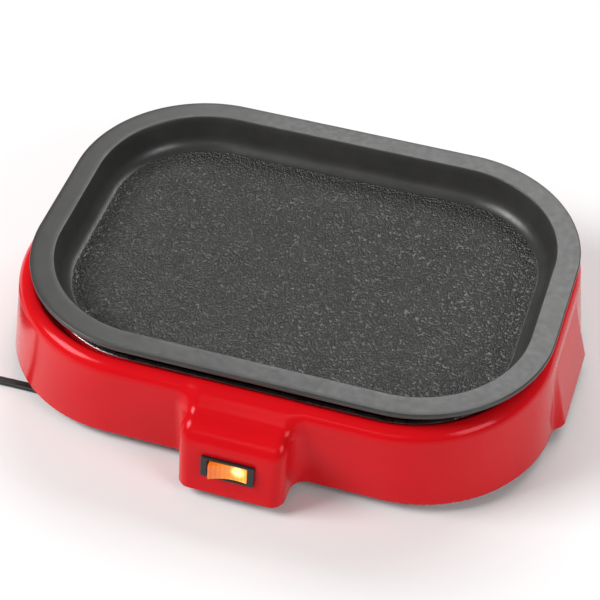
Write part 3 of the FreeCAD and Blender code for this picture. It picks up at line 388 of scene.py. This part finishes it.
# ------------------------------------------------------------------ grill plate
def pebbles(x, y):
    """Height of the plate's pebbled floor, mm: rounded grains of two sizes."""
    h = np.zeros_like(x)
    for pitch, amp, seed in ((2.0, 0.08, 3), (1.5, 0.13, 11)):
        rs = np.random.RandomState(seed)
        T = 512
        jx, jy, jr = rs.rand(T, T), rs.rand(T, T), 0.55 + 0.6 * rs.rand(T, T)
        gx, gy = np.floor(x / pitch).astype(int), np.floor(y / pitch).astype(int)
        best = np.full(x.shape, -1.0)
        for dx in (-1, 0, 1):
            for dy in (-1, 0, 1):
                cx, cy = gx + dx, gy + dy
                px = (cx + jx[cx % T, cy % T]) * pitch
                py = (cy + jy[cx % T, cy % T]) * pitch
                q = np.hypot(x - px, y - py) / (pitch * 0.75 * jr[cx % T, cy % T])
                best = np.maximum(best, jr[cx % T, cy % T] * (1 - q * q))
        h += amp * np.clip(best, -0.6, 1.2)
    return h


def grill_plate():
    P, N = ring_points(0.95, 0.95)
    d = 11.2
    inner = arc2((-27.2, 61.5), 10.5, -90, -d, 14)
    prof = []
    prof += [(-27.5, 51.0)] + inner
    prof += smooth_line([inner[-1], (-14.62, 70.6)], 3.0)[1:]
    prof += arc2((-13.35, 71.05), 0.95, 168, 90, 6)[0:]
    prof += smooth_line([(-13.35, 72.0), (-0.9, 72.0)], 2.5)[1:]
    prof += arc2((-0.9, 71.1), 0.9, 90, 0, 6)[1:]
    prof += [(0.0, 69.6)] + arc2((-0.7, 69.5), 0.7, 0, -90, 4)[1:]
    prof += smooth_line([(-0.7, 68.8), (-10.6, 68.8)], 3.0)[1:]
    prof += arc2((-10.6, 67.4), 1.4, 90, 168, 4)[1:]
    outer = arc2((-27.2, 61.5), 13.5, -d, -90, 14)
    prof += outer + [(-28.0, 48.0)]
    V, F = sweep(prof, P, N, closed=False)
    n = len(P)
    m = len(prof)
    # the floor: rings that shrink to the middle, pebbled, faded in over its first millimetre
    edge = P + N * (-27.5)
    top, faces = [V], [F]
    rings = 168
    first = 0
    base = len(V)
    prev = np.arange(n)
    for k in range(1, rings):
        t = 1 - k / rings
        q = edge * t
        fade = min(1.0, k * (1 - 0) * 0.75 / 1.0)
        z = 51.0 + pebbles(q[:, 0], q[:, 1]) * fade * 0.8 - 0.02
        top.append(np.column_stack([q, z]))
        cur = base + (k - 1) * n + np.arange(n)
        faces.append(np.column_stack([cur, np.roll(cur, -1), np.roll(prev, -1), prev]))
        prev = cur
    V = np.vstack(top)
    F = [list(f) for f in np.vstack(faces)]
    c = len(V)
    V = np.vstack([V, [[0, 0, 51.0]]])
    for i in range(n):
        F.append([c, prev[(i + 1) % n], prev[i]])
    # the underside's flat and its middle
    low = (m - 1) * n + np.arange(n)
    c2 = len(V)
    rows = [low]
    for t in (0.6, 0.25):
        ids = len(V) + np.arange(n)
        V = np.vstack([V, np.column_stack([(P + N * (-28.0)) * t, np.full(n, 48.0)])])
        rows.append(ids)
    for a, b in zip(rows, rows[1:]):
        for i in range(n):
            F.append([a[i], a[(i + 1) % n], b[(i + 1) % n], b[i]])
    c2 = len(V)
    V = np.vstack([V, [[0, 0, 48.0]]])
    for i in range(n):
        F.append([rows[-1][i], rows[-1][(i + 1) % n], c2])
    V[:, 0] += DX
    ob = make("plate_skin", V, F, NONSTICK, "plate", ["grill_plate"], sharp=50)
    for k, (x, y) in enumerate([(sx * 60, sy * 32) for sx in (-1, 1) for sy in (-1, 1)]):
        lathe("plate_pad_%d" % k, [(0, 48.3), (6.4, 48.3), (6.0, 47.6), (5.6, 47.0), (0, 47.0)], (x + DX, y, 0), NONSTICK, "plate")
    return ob


def lathe(name, prof, at, mat, body, nodes=(), seg=48, axis=None, sharp=40):
    """Turns (radius, height) about an axis through at; height runs along axis (default +Z)."""
    V, F = [], []
    ring = []
    for r, h in prof:
        if r < 1e-9:
            ring.append([len(V)])
            V.append((0, 0, h))
        else:
            ids = []
            for i in range(seg):
                a = 2 * math.pi * i / seg
                ids.append(len(V))
                V.append((r * math.cos(a), r * math.sin(a), h))
            ring.append(ids)
    for a, b in zip(ring, ring[1:]):
        for i in range(seg):
            k = (i + 1) % seg
            if len(a) == 1 and len(b) == 1:
                continue
            if len(a) == 1:
                F.append([a[0], b[k], b[i]])
            elif len(b) == 1:
                F.append([a[i], a[k], b[0]])
            else:
                F.append([a[i], a[k], b[k], b[i]])
    V = np.array(V, dtype=float)
    if axis is not None:
        q = Vector((0, 0, 1)).rotation_difference(Vector(axis)).to_matrix()
        V = V @ np.array(q).T
    V = V + np.array(at)
    ob = make(name, V, F, mat, body, nodes, sharp=sharp)
    fix_normals(ob)
    return ob


def fix_normals(ob):
    import bmesh
    bm = bmesh.new()
    bm.from_mesh(ob.data)
    bmesh.ops.recalc_face_normals(bm, faces=bm.faces)
    bm.to_mesh(ob.data)
    bm.free()


fix_normals(grill_plate())


# ------------------------------------------------------------------ heat shield pan
def shield():
    P, N = ring_points(2.2, 3.0)
    prof = arc2((-12.64, 50.6), 0.42, 90, -90, 5)
    prof = [(-12.64, 51.0)] + prof[1:-1] + [(-12.64, 50.15)]
    prof += [(-13.8, 50.15)] + arc2((-13.8, 49.45), 0.7, 90, 180, 3)[1:]
    prof += smooth_line([(-14.5, 49.4), (-14.5, 28.0)], 6)[1:]
    prof += arc2((-22.5, 28.0), 8.0, 0, -90, 8)[1:]
    tail = [(-60.0, 20.0)]
    up = [(-60.0, 21.0)] + arc2((-22.5, 28.0), 7.0, -90, 0, 8) + smooth_line([(-15.5, 28.0), (-15.5, 50.3)], 6)[1:]
    up += arc2((-14.8, 50.3), 0.7, 180, 90, 3)[1:]
    prof = prof + tail + up
    V, F = sweep(prof, P, N, closed=True)
    n, m = len(P), len(prof)
    F = [list(f) for f in F]
    # the two inner rings stop at the flat floor: cap above and below
    jt = prof.index((-60.0, 20.0))
    F = [f for f in F if not (jt * n <= f[0] < (jt + 1) * n and f[2] >= (jt + 1) * n)]
    F.append([jt * n + i for i in range(n)][::-1])
    F.append([(jt + 1) * n + i for i in range(n)])
    ob = make("shield_pan", V, F, [PAN, LIP], "base", ["heat_shield"], sharp=45)
    fix_normals(ob)
    for p in ob.data.polygons:
        z = [ob.data.vertices[v].co for v in p.vertices]
        if min(c.z for c in z) > 0.0500 and p.area < 0.0003:
            o = max(outset(c.x * 1000, c.y * 1000 - YC) for c in z)
            if o > -13.4:
                p.material_index = 1
    return ob


def outset(x, y, abr=(A_, B_, R_)):
    a, b, r = abr
    qx, qy = np.abs(x) - (a - r), np.abs(y) - (b - r)
    return np.hypot(np.maximum(qx, 0), np.maximum(qy, 0)) + np.minimum(np.maximum(qx, qy), 0) - r


shield()


# ------------------------------------------------------------------ red housing, as a distance field meshed on a grid
def rint(a, b, r):
    """Intersection with its edge rounded by r."""
    return np.minimum(np.maximum(a, b), -r) + np.hypot(np.maximum(a + r, 0), np.maximum(b + r, 0))


def runi(a, b, r):
    """Union with its corner filled by r."""
    return np.maximum(np.minimum(a, b), r) - np.hypot(np.maximum(r - a, 0), np.maximum(r - b, 0))


def sstep(t):
    t = np.clip(t, 0, 1)
    return t * t * (3 - 2 * t)


LEAN = 5.2 / 39.8
TH = math.atan(LEAN)
SWC = (1.1, -(141.5 - LEAN * (27.3 - 6.5)), 27.3)


def local(x, y, z):
    """Switch coordinates: right, up the face, out of the face."""
    dy, dz = y - SWC[1], z - SWC[2]
    return x - SWC[0], dy * math.sin(TH) + dz * math.cos(TH), -dy * math.cos(TH) + dz * math.sin(TH)


def body_field(x, y, z, foot=True):
    t = np.clip((z - 6.5) / 46.5, -0.2, 1)
    w = outset(x, y, (WALL[0] - 4.7 * t, WALL[1], WALL[2] + 3.6 * t))
    c = outset(x, y, CREST)
    wide = np.maximum(c - outset(x, y, (WALL[0] - 4.7, WALL[1], WALL[2] + 3.6)), 4.0)
    yb = 25.5 + 3.0 * np.clip((48 - z) / 41.5, 0, 1)
    grip = (1 - sstep((np.abs(y) - yb) / 9.5)) * (np.abs(x) > 120) * 5.8 * np.clip((48 - z) / 41.5, 0, 1.05)
    high = 8.0
    u, v = np.maximum(c, 0), np.maximum(z - (61.0 - high), 0)
    k = np.hypot(u / wide, v / high)
    q = np.hypot(u / wide ** 2, v / high ** 2)
    shell = np.where((q > 1e-4) & (v > 0), k * (k - 1) / np.maximum(q, 1e-4), np.maximum(w, z - 61.0)) - grip
    px = np.abs(x - 1.6) - 31.1
    py = (-y - 141.5 + (z - 6.5) * LEAN) * math.cos(TH)
    plan = rint(px, py, 8.0)
    lid = (z - (46.6 + (y + 136.3) * 0.339)) * 0.947
    box = rint(plan, lid, 7.5)
    box = np.maximum(box, y + 95.0)
    s = runi(shell, box, 9.0)
    if foot:
        s = rint(s, 6.5 - z, 0.9)
    return s


def house(x, y, z):
    c = outset(x, y, CREST)
    outer = body_field(x, y, z)
    inner = body_field(x, y, z, foot=False) + 2.8
    slope = (c + 0.5 + (61.0 - z) * 0.608) * 0.8545
    well = np.maximum(outset(x, y) + 13.6, z - 80)
    lower = np.maximum(slope, 50.0 - z)
    mouth = np.minimum(lower, well)
    # material stays 2 mm under the slope and the ledge
    cav = np.maximum(inner, -(lower - 2.0))
    cav = np.maximum(cav, z - 58.2)
    s = rint(outer, -mouth, 1.3)
    s = np.maximum(s, -cav)
    lx, ly, lz = local(x, y, z)
    hole = np.maximum(np.maximum(np.abs(lx) - 13.6, np.abs(ly) - 6.1), np.abs(lz) - 9)
    return np.maximum(s, -hole)


def surface_nets(f, lo, hi, h):
    ax = [np.arange(l, u + h, h) for l, u in zip(lo, hi)]
    nx, ny, nz = map(len, ax)
    G = np.empty((nx, ny, nz), dtype=np.float32)
    for k in range(nz):
        X, Y = np.meshgrid(ax[0], ax[1], indexing="ij")
        G[:, :, k] = f(X, Y, np.full_like(X, ax[2][k]))
    inside = G < 0
    acc = np.zeros((nx - 1, ny - 1, nz - 1, 3), dtype=np.float32)
    cnt = np.zeros((nx - 1, ny - 1, nz - 1), dtype=np.float32)
    quads = []
    dims = (nx - 1, ny - 1, nz - 1)
    for d in range(3):
        sl0, sl1 = [slice(None)] * 3, [slice(None)] * 3
        sl0[d], sl1[d] = slice(0, -1), slice(1, None)
        A, B = G[tuple(sl0)], G[tuple(sl1)]
        cross = (A < 0) != (B < 0)
        idx = np.argwhere(cross)
        t = (A[cross] / (A[cross] - B[cross])).astype(np.float32)
        p = idx.astype(np.float32)
        p[:, d] += t
        e, g = [k for k in range(3) if k != d]
        ok = np.ones(len(idx), bool)
        ids = []
        for de, dg in ((0, 0), (-1, 0), (-1, -1), (0, -1)):
            c = idx.copy()
            c[:, e] += de
            c[:, g] += dg
            good = np.all((c >= 0) & (c < np.array(dims)), axis=1)
            ok &= good
            cc = np.clip(c, 0, np.array(dims) - 1)
            np.add.at(acc, (cc[good, 0], cc[good, 1], cc[good, 2]), p[good])
            np.add.at(cnt, (cc[good, 0], cc[good, 1], cc[good, 2]), 1)
            ids.append((cc[:, 0] * dims[1] + cc[:, 1]) * dims[2] + cc[:, 2])
        q = np.stack(ids, 1)[ok]
        flip = (A[cross] < 0)[ok]
        if d == 1:
            flip = ~flip
        q[flip] = q[flip][:, ::-1]
        quads.append(q)
    Q = np.vstack(quads)
    used, inv = np.unique(Q, return_inverse=True)
    Q = inv.reshape(Q.shape)
    acc, cnt = acc.reshape(-1, 3)[used], cnt.reshape(-1)[used]
    V = acc / cnt[:, None] * h + np.array(lo)
    return V.astype(float), Q


def grad(f, V, e=0.12):
    g = np.empty_like(V)
    for k in range(3):
        d = np.zeros(3)
        d[k] = e
        a, b = V + d, V - d
        g[:, k] = (f(a[:, 0], a[:, 1], a[:, 2]) - f(b[:, 0], b[:, 1], b[:, 2])) / (2 * e)
    return g


def housing():
    V, Q = surface_nets(house, (-170.03, -144.02, 4.37), (170.03, 120.02, 63.0), 1.22)
    for _ in range(4):
        g = grad(house, V)
        s = house(V[:, 0], V[:, 1], V[:, 2])
        V = V - np.clip(s / np.maximum((g * g).sum(1), 0.2), -0.6, 0.6)[:, None] * g
    g = grad(house, V, 0.35)
    nrm = g / np.maximum(np.linalg.norm(g, axis=1), 1e-6)[:, None]
    a = V[Q[:, 1]] - V[Q[:, 0]]
    b = V[Q[:, 3]] - V[Q[:, 0]]
    if (np.cross(a, b) * nrm[Q[:, 0]]).sum() < 0:
        Q = Q[:, ::-1]
    return make("red_housing", V, Q, RED, "base", ["upper_housing"], normals=nrm)


housing()


# ------------------------------------------------------------------ switch: bezel, case, rocker
def sw(V):
    """Switch coordinates to millimetres from the plate's centre."""
    V = np.asarray(V, dtype=float)
    up = np.array([0, math.sin(TH), math.cos(TH)])
    out = np.array([0, -math.cos(TH), math.sin(TH)])
    return np.array(SWC) + V[:, :1] * np.array([1.0, 0, 0]) + V[:, 1:2] * up + V[:, 2:3] * out


def rrect_ring(hx, hy, r, n=8):
    pts = []
    for cx, cy, a0 in ((hx - r, hy - r, 0), (-(hx - r), hy - r, 90), (-(hx - r), -(hy - r), 180), (hx - r, -(hy - r), 270)):
        for i in range(n + 1):
            a = math.radians(a0 + 90 * i / n)
            pts.append((cx + r * math.cos(a), cy + r * math.sin(a)))
    return pts


def loft(rings, cap0=True, cap1=True):
    V, F = [], []
    n = len(rings[0])
    for r in rings:
        V += r
    for j in range(len(rings) - 1):
        for i in range(n):
            k = (i + 1) % n
            F.append([j * n + i, j * n + k, (j + 1) * n + k, (j + 1) * n + i])
    if cap0:
        F.append(list(range(n))[::-1])
    if cap1:
        F.append([(len(rings) - 1) * n + i for i in range(n)])
    return V, F


def lvl(pts, z):
    return [(x, y, z) for x, y in pts]


def bezel():
    hx, hy = 15.5, 7.0
    R = []
    R.append(lvl(rrect_ring(hx - 0.15, hy - 0.15, 0.9), 0.02))
    R.append(lvl(rrect_ring(hx, hy, 1.0), 0.35))
    R.append(lvl(rrect_ring(hx, hy, 1.0), 1.45))
    for a in (20, 45, 70, 90):
        t = math.radians(a)
        R.append(lvl(rrect_ring(hx - 0.7 * (1 - math.cos(t)), hy - 0.7 * (1 - math.cos(t)), 1.0), 1.45 + 0.7 * math.sin(t)))
    R.append(lvl(rrect_ring(11.75, 5.65, 0.6), 2.12))
    R.append(lvl(rrect_ring(11.45, 5.38, 0.5), 1.75))
    R.append(lvl(rrect_ring(11.4, 5.35, 0.45), -13.9))
    V, F = loft(R, cap0=False, cap1=True)
    # the case behind the face
    R2 = [R[-1]]
    n = len(R[0])
    case = [lvl(rrect_ring(13.5, 6.0, 0.5), 0.02), lvl(rrect_ring(13.5, 6.0, 0.5), -17.6), lvl(rrect_ring(13.1, 5.6, 0.5), -18.0)]
    off = len(V)
    for r in case:
        V += r
    for i in range(n):
        k = (i + 1) % n
        F.append([i, off + i, off + k, k])
        for j in range(2):
            F.append([off + j * n + i, off + (j + 1) * n + i, off + (j + 1) * n + k, off + j * n + k])
    F.append([off + 2 * n + i for i in range(n)])
    ob = make("switch_bezel", sw(V), F, BEZEL, "base", ["switch_housing"], sharp=35)
    fix_normals(ob)
    return ob


def rocker():
    """Concave top, rounded edges; drawn level and turned so that its right end is in."""
    hx, hy = 10.95, 5.1
    nu, nv = 60, 24

    def top(x, y):
        return 2.1 + 2.1 * (x / hx) ** 2
    # shape: rounded-rect section levels along the depth, top surface follows the curve
    V, F = [], []
    ring = rrect_ring(hx, hy, 0.8, 6)
    dense = []
    for p, q in zip(ring, ring[1:] + ring[:1]):
        k = max(1, int(math.dist(p, q) / 0.5))
        dense += [(p[0] + (q[0] - p[0]) * i / k, p[1] + (q[1] - p[1]) * i / k) for i in range(k)]
    n = len(dense)
    rows = []

    def add(pts):
        ids = list(range(len(V), len(V) + len(pts)))
        V.extend(pts)
        rows.append(ids)
    add([(x * 0.955, y, -4.2) for x, y in dense])
    add([(x * 0.985, y, 0.0) for x, y in dense])
    for a in (0, 25, 50, 75, 90):
        t = math.radians(a)
        s = 0.55 * (1 - math.cos(t))
        fx, fy = (hx - s) / hx, (hy - s) / hy
        add([(x * fx, y * fy, top(x * fx, y * fy) - 0.55 + 0.55 * math.sin(t)) for x, y in dense])
    for s in np.linspace(0.94, 0.04, 22):
        fx, fy = (hx - 0.55) / hx * s, (hy - 0.55) / hy * s
        add([(x * fx, y * fy, top(x * fx, y * fy)) for x, y in dense])
    for a, b in zip(rows, rows[1:]):
        for i in range(n):
            k = (i + 1) % n
            F.append([a[i], a[k], b[k], b[i]])
    F.append(rows[-1])
    F.append(rows[0][::-1])
    V = np.array(V)
    t = math.radians(10.0)
    x, y, z = V[:, 0], V[:, 1], V[:, 2] + 1.0
    V = np.column_stack([x * math.cos(t) + z * math.sin(t), y, -x * math.sin(t) + z * math.cos(t) - 1.0])
    ob = make("rocker_cap", sw(V), F, AMBER, "rocker", ["switch_rocker"], sharp=50)
    fix_normals(ob)
    return ob


bezel()
rocker()


# ------------------------------------------------------------------ feet
for k, (x, y) in enumerate([(sx * 125.0, sy * 72.0) for sx in (-1, 1) for sy in (-1, 1)]):
    prof = [(0, 1.2), (5.2, 1.2), (5.6, 0.7), (5.9, 0.15), (6.4, 0.0), (7.2, 0.0), (7.7, 0.25), (7.95, 0.8), (8.0, 1.6), (8.0, 5.6), (7.8, 6.3),
            (3.0, 6.45), (3.0, 9.05), (4.1, 9.1), (4.2, 9.5), (3.6, 10.2), (0, 10.4)]
    o = lathe("foot_%d" % k, prof, (x, y, 0), RUBBER, "base", ["rubber_feet"] if k == 0 else ())


# ------------------------------------------------------------------ lead
def cord_points():
    C = (-226.0, -55.0)
    pts = [(-41.0, -94.0, 12.6), (-52.0, -94.0, 12.6), (-63.6, -94.0, 12.6), (-75.0, -94.0, 12.0), (-88.0, -94.3, 7.6), (-101.0, -94.4, 2.9),
           (-116.0, -94.1, 1.5), (-128.0, -93.8, 1.45), (-140.0, -93.5, 1.45), (-156.0, -93.9, 1.45), (-172.0, -94.3, 1.45),
           (-190.0, -93.9, 1.45), (-210.0, -93.4, 1.45)]
    per = 18
    turns = 3
    for i in range(1, per * turns + 1):                       # first layer, winding in
        ph = -90.0 - 360.0 * i / per + 0.0
        if i < 2:
            continue
        r = 38.8 - 11.6 * i / (per * turns) + 0.25 * math.sin(i * 1.7)
        pts.append((C[0] + r * math.cos(math.radians(ph)), C[1] + r * math.sin(math.radians(ph)), 1.45))
    for i in range(1, per * turns + 1):                       # second layer, winding out
        ph = -90.0 - 360.0 * i / per
        r = 27.2 + 11.4 * i / (per * turns) + 0.25 * math.sin(i * 1.3)
        z = 4.4 if i > 1 else 3.0
        pts.append((C[0] + r * math.cos(math.radians(ph)), C[1] + r * math.sin(math.radians(ph)), z))
    pts += [(-238.8, -91.6, 4.9), (-247.0, -88.0, 7.2), (-253.5, -83.6, 10.0), (-257.4, -79.0, 11.8), (-258.8, -74.5, 12.2), (-259.0, -71.5, 12.2), (-259.0, -68.5, 12.2)]
    return pts


def nurbs_line(pts):
    cu = bpy.data.curves.new("lead_line", "CURVE")
    cu.dimensions = "3D"
    sp = cu.splines.new("NURBS")
    sp.points.add(len(pts) - 1)
    for i, p in enumerate(pts):
        sp.points[i].co = (p[0] / 1000, (p[1] + YC) / 1000, p[2] / 1000, 1)
    sp.order_u = 3
    sp.use_endpoint_u = True
    cu.resolution_u = 6
    ob = bpy.data.objects.new("lead_line", cu)
    SC.collection.objects.link(ob)
    bpy.context.view_layer.update()
    me = bpy.data.meshes.new_from_object(ob.evaluated_get(bpy.context.evaluated_depsgraph_get()))
    line = [v.co.copy() for v in me.vertices]
    bpy.data.objects.remove(ob)
    bpy.data.meshes.remove(me)
    return line


def twin_section(w, t, n=40):
    """Two cores side by side with a shallow groove between them, w wide and t thick."""
    pts = []
    for i in range(n):
        a = 2 * math.pi * i / n
        c, s = math.cos(a), math.sin(a)
        x = (w / 2 - t / 2) * (1 if c > 0 else -1) * min(1.0, abs(c) * 3.2) + t / 2 * c
        y = t / 2 * s
        y *= 1 - 0.22 * math.exp(-(x / 0.55) ** 2)
        pts.append((x, y))
    return pts


def lead():
    line = nurbs_line(cord_points())
    L = np.array([[p.x * 1000, p.y * 1000 - YC, p.z * 1000] for p in line])
    keep = [0]
    for i in range(1, len(L)):
        if np.linalg.norm(L[i] - L[keep[-1]]) > 0.8:
            keep.append(i)
    L = L[keep]
    T = np.gradient(L, axis=0)
    T /= np.linalg.norm(T, axis=1)[:, None]
    sec = twin_section(5.6, 2.8)
    V, F = [], []
    n = len(sec)
    for p, t in zip(L, T):
        side = np.array([-t[1], t[0], 0.0])
        side /= np.linalg.norm(side)
        up = np.cross(t, side)
        if up[2] < 0:
            up = -up
        V += [tuple(p + side * a + up * b) for a, b in sec]
    for j in range(len(L) - 1):
        for i in range(n):
            k = (i + 1) % n
            F.append([j * n + i, j * n + k, (j + 1) * n + k, (j + 1) * n + i])
    F.append(list(range(n))[::-1])
    F.append([(len(L) - 1) * n + i for i in range(n)])
    ob = make("lead", V, F, CORD, "base", ["power_cord", "cord_coil"], sharp=60)
    fix_normals(ob)
    total = float(np.linalg.norm(np.diff(L, axis=0), axis=1).sum()) / 1000
    return ob, line, total


def box_mesh(name, lo, hi, r, mat, body, nodes=(), seg=3):
    import bmesh
    bm = bmesh.new()
    bmesh.ops.create_cube(bm, size=1.0)
    for v in bm.verts:
        v.co = Vector([(lo[k] + hi[k]) / 2 + v.co[k] * (hi[k] - lo[k]) for k in range(3)])
    if r:
        bmesh.ops.bevel(bm, geom=list(bm.edges), offset=r, segments=seg, affect="EDGES", profile=0.5)
    V = [tuple(v.co) for v in bm.verts]
    bm.verts.index_update()
    F = [[v.index for v in f.verts] for f in bm.faces]
    bm.free()
    return make(name, V, F, mat, body, nodes, sharp=40)


def plug():
    px, py = -259.0, -69.0
    R = []
    for y, hx, hz, r in ((-11.5, 3.4, 2.1, 1.9), (-10.9, 3.7, 2.4, 2.2), (-6, 4.1, 2.8, 2.5), (-0.6, 4.6, 3.3, 3.0), (0.0, 7.4, 4.2, 3.2), (1.4, 9.4, 5.2, 3.2), (5.0, 10.3, 5.85, 3.2),
                         (14.0, 10.5, 6.0, 3.0), (22.0, 9.9, 5.8, 2.6), (26.2, 10.4, 5.9, 2.4), (27.0, 11.4, 5.95, 1.8), (27.4, 11.9, 5.95, 1.6), (29.6, 12.0, 5.95, 1.6), (30.0, 11.6, 5.6, 1.5)):
        R.append([(px + x, py + y, 12.2 + z) for x, z in rrect_ring(hx, hz, r, 6)])
    V, F = loft(R)
    body = make("plug", V, F, CORD, "base", ["plug_body"], sharp=45)
    fix_normals(body)
    out = [body]
    for k, sx in enumerate((-1, 1)):
        b = box_mesh("blade_%d" % k, (px + sx * 6.35 - 0.75, py + 29.5, 9.05), (px + sx * 6.35 + 0.75, py + 48, 15.35), 0.35, BRASS, "base", ["plug_blades"] if k == 0 else ())
        out.append(b)
    return out


def tie():
    x, y = -226.0, -22.0
    V, F = [], []
    prof = rrect_ring(8.8 + 0.75, 3.5, 1.6, 5)
    inn = rrect_ring(8.8 - 0.1, 3.0, 1.2, 5)
    n = len(prof)
    for sx in (-1.6, 1.6):
        V += [(x + sx, y + a, 3.55 + b) for a, b in prof]
        V += [(x + sx, y + a, 3.55 + b) for a, b in inn]
    for i in range(n):
        k = (i + 1) % n
        F.append([i, k, 2 * n + k, 2 * n + i])
        F.append([n + i, 3 * n + i, 3 * n + k, n + k])
        F.append([i, n + i, n + k, k])
        F.append([2 * n + i, 2 * n + k, 3 * n + k, 3 * n + i])
    V = [(a, b, max(c, 0.05)) for a, b, c in V]
    ob = make("lead_tie", V, F, BLACK, "base", ["cord_tie"], sharp=40)
    fix_normals(ob)
    return ob


LEAD, LINE, LONG = lead()
PLUG = plug()
TIE = tie()
print("lead length", round(LONG, 4))


# ------------------------------------------------------------------ floor, light
def floor():
    me = bpy.data.meshes.new("floor")
    s = 6.0
    me.from_pydata([(-s, -s, 0), (s, -s, 0), (s, s, 0), (-s, s, 0)], [], [(0, 1, 2, 3)])
    ob = bpy.data.objects.new("floor", me)
    SC.collection.objects.link(ob)
    m, nt, b, co = base_material("floor_white")
    put(b, Roughness=0.6)
    nt.links.new(ramp(nt, noise(nt, co, 3.0, 3.0), 0.3, 0.7, (0.78, 0.78, 0.78), (0.81, 0.81, 0.81)), b.inputs["Base Color"])
    me.materials.append(m)


floor()


def area(name, at, look, size, power, col=(1, 1, 1), spread=180):
    li = bpy.data.lights.new(name, "AREA")
    li.shape = "RECTANGLE"
    li.size, li.size_y = size
    li.energy = power
    li.color = col
    li.spread = math.radians(spread)
    ob = bpy.data.objects.new(name, li)
    ob.location = at
    ob.rotation_euler = (Vector(look) - Vector(at)).to_track_quat("-Z", "Y").to_euler()
    SC.collection.objects.link(ob)
    return ob


area("key_left", (-1.5, -0.7, 1.5), (0, 0, 0.05), (1.0, 0.9), 44)
area("top_back", (0.2, 1.6, 1.7), (0, 0, 0.05), (2.0, 0.9), 32)
area("right_soft", (1.7, -0.8, 1.2), (0, 0, 0.05), (0.9, 0.9), 17)
area("front_fill", (0.0, -2.0, 1.6), (0, 0, 0.03), (1.2, 0.5), 3)
world = bpy.data.worlds.new("world")
SC.world = world
world.use_nodes = True
world.node_tree.nodes["Background"].inputs["Color"].default_value = (1, 1, 1, 1)
world.node_tree.nodes["Background"].inputs["Strength"].default_value = 0.16
SC.view_settings.view_transform = "Standard"
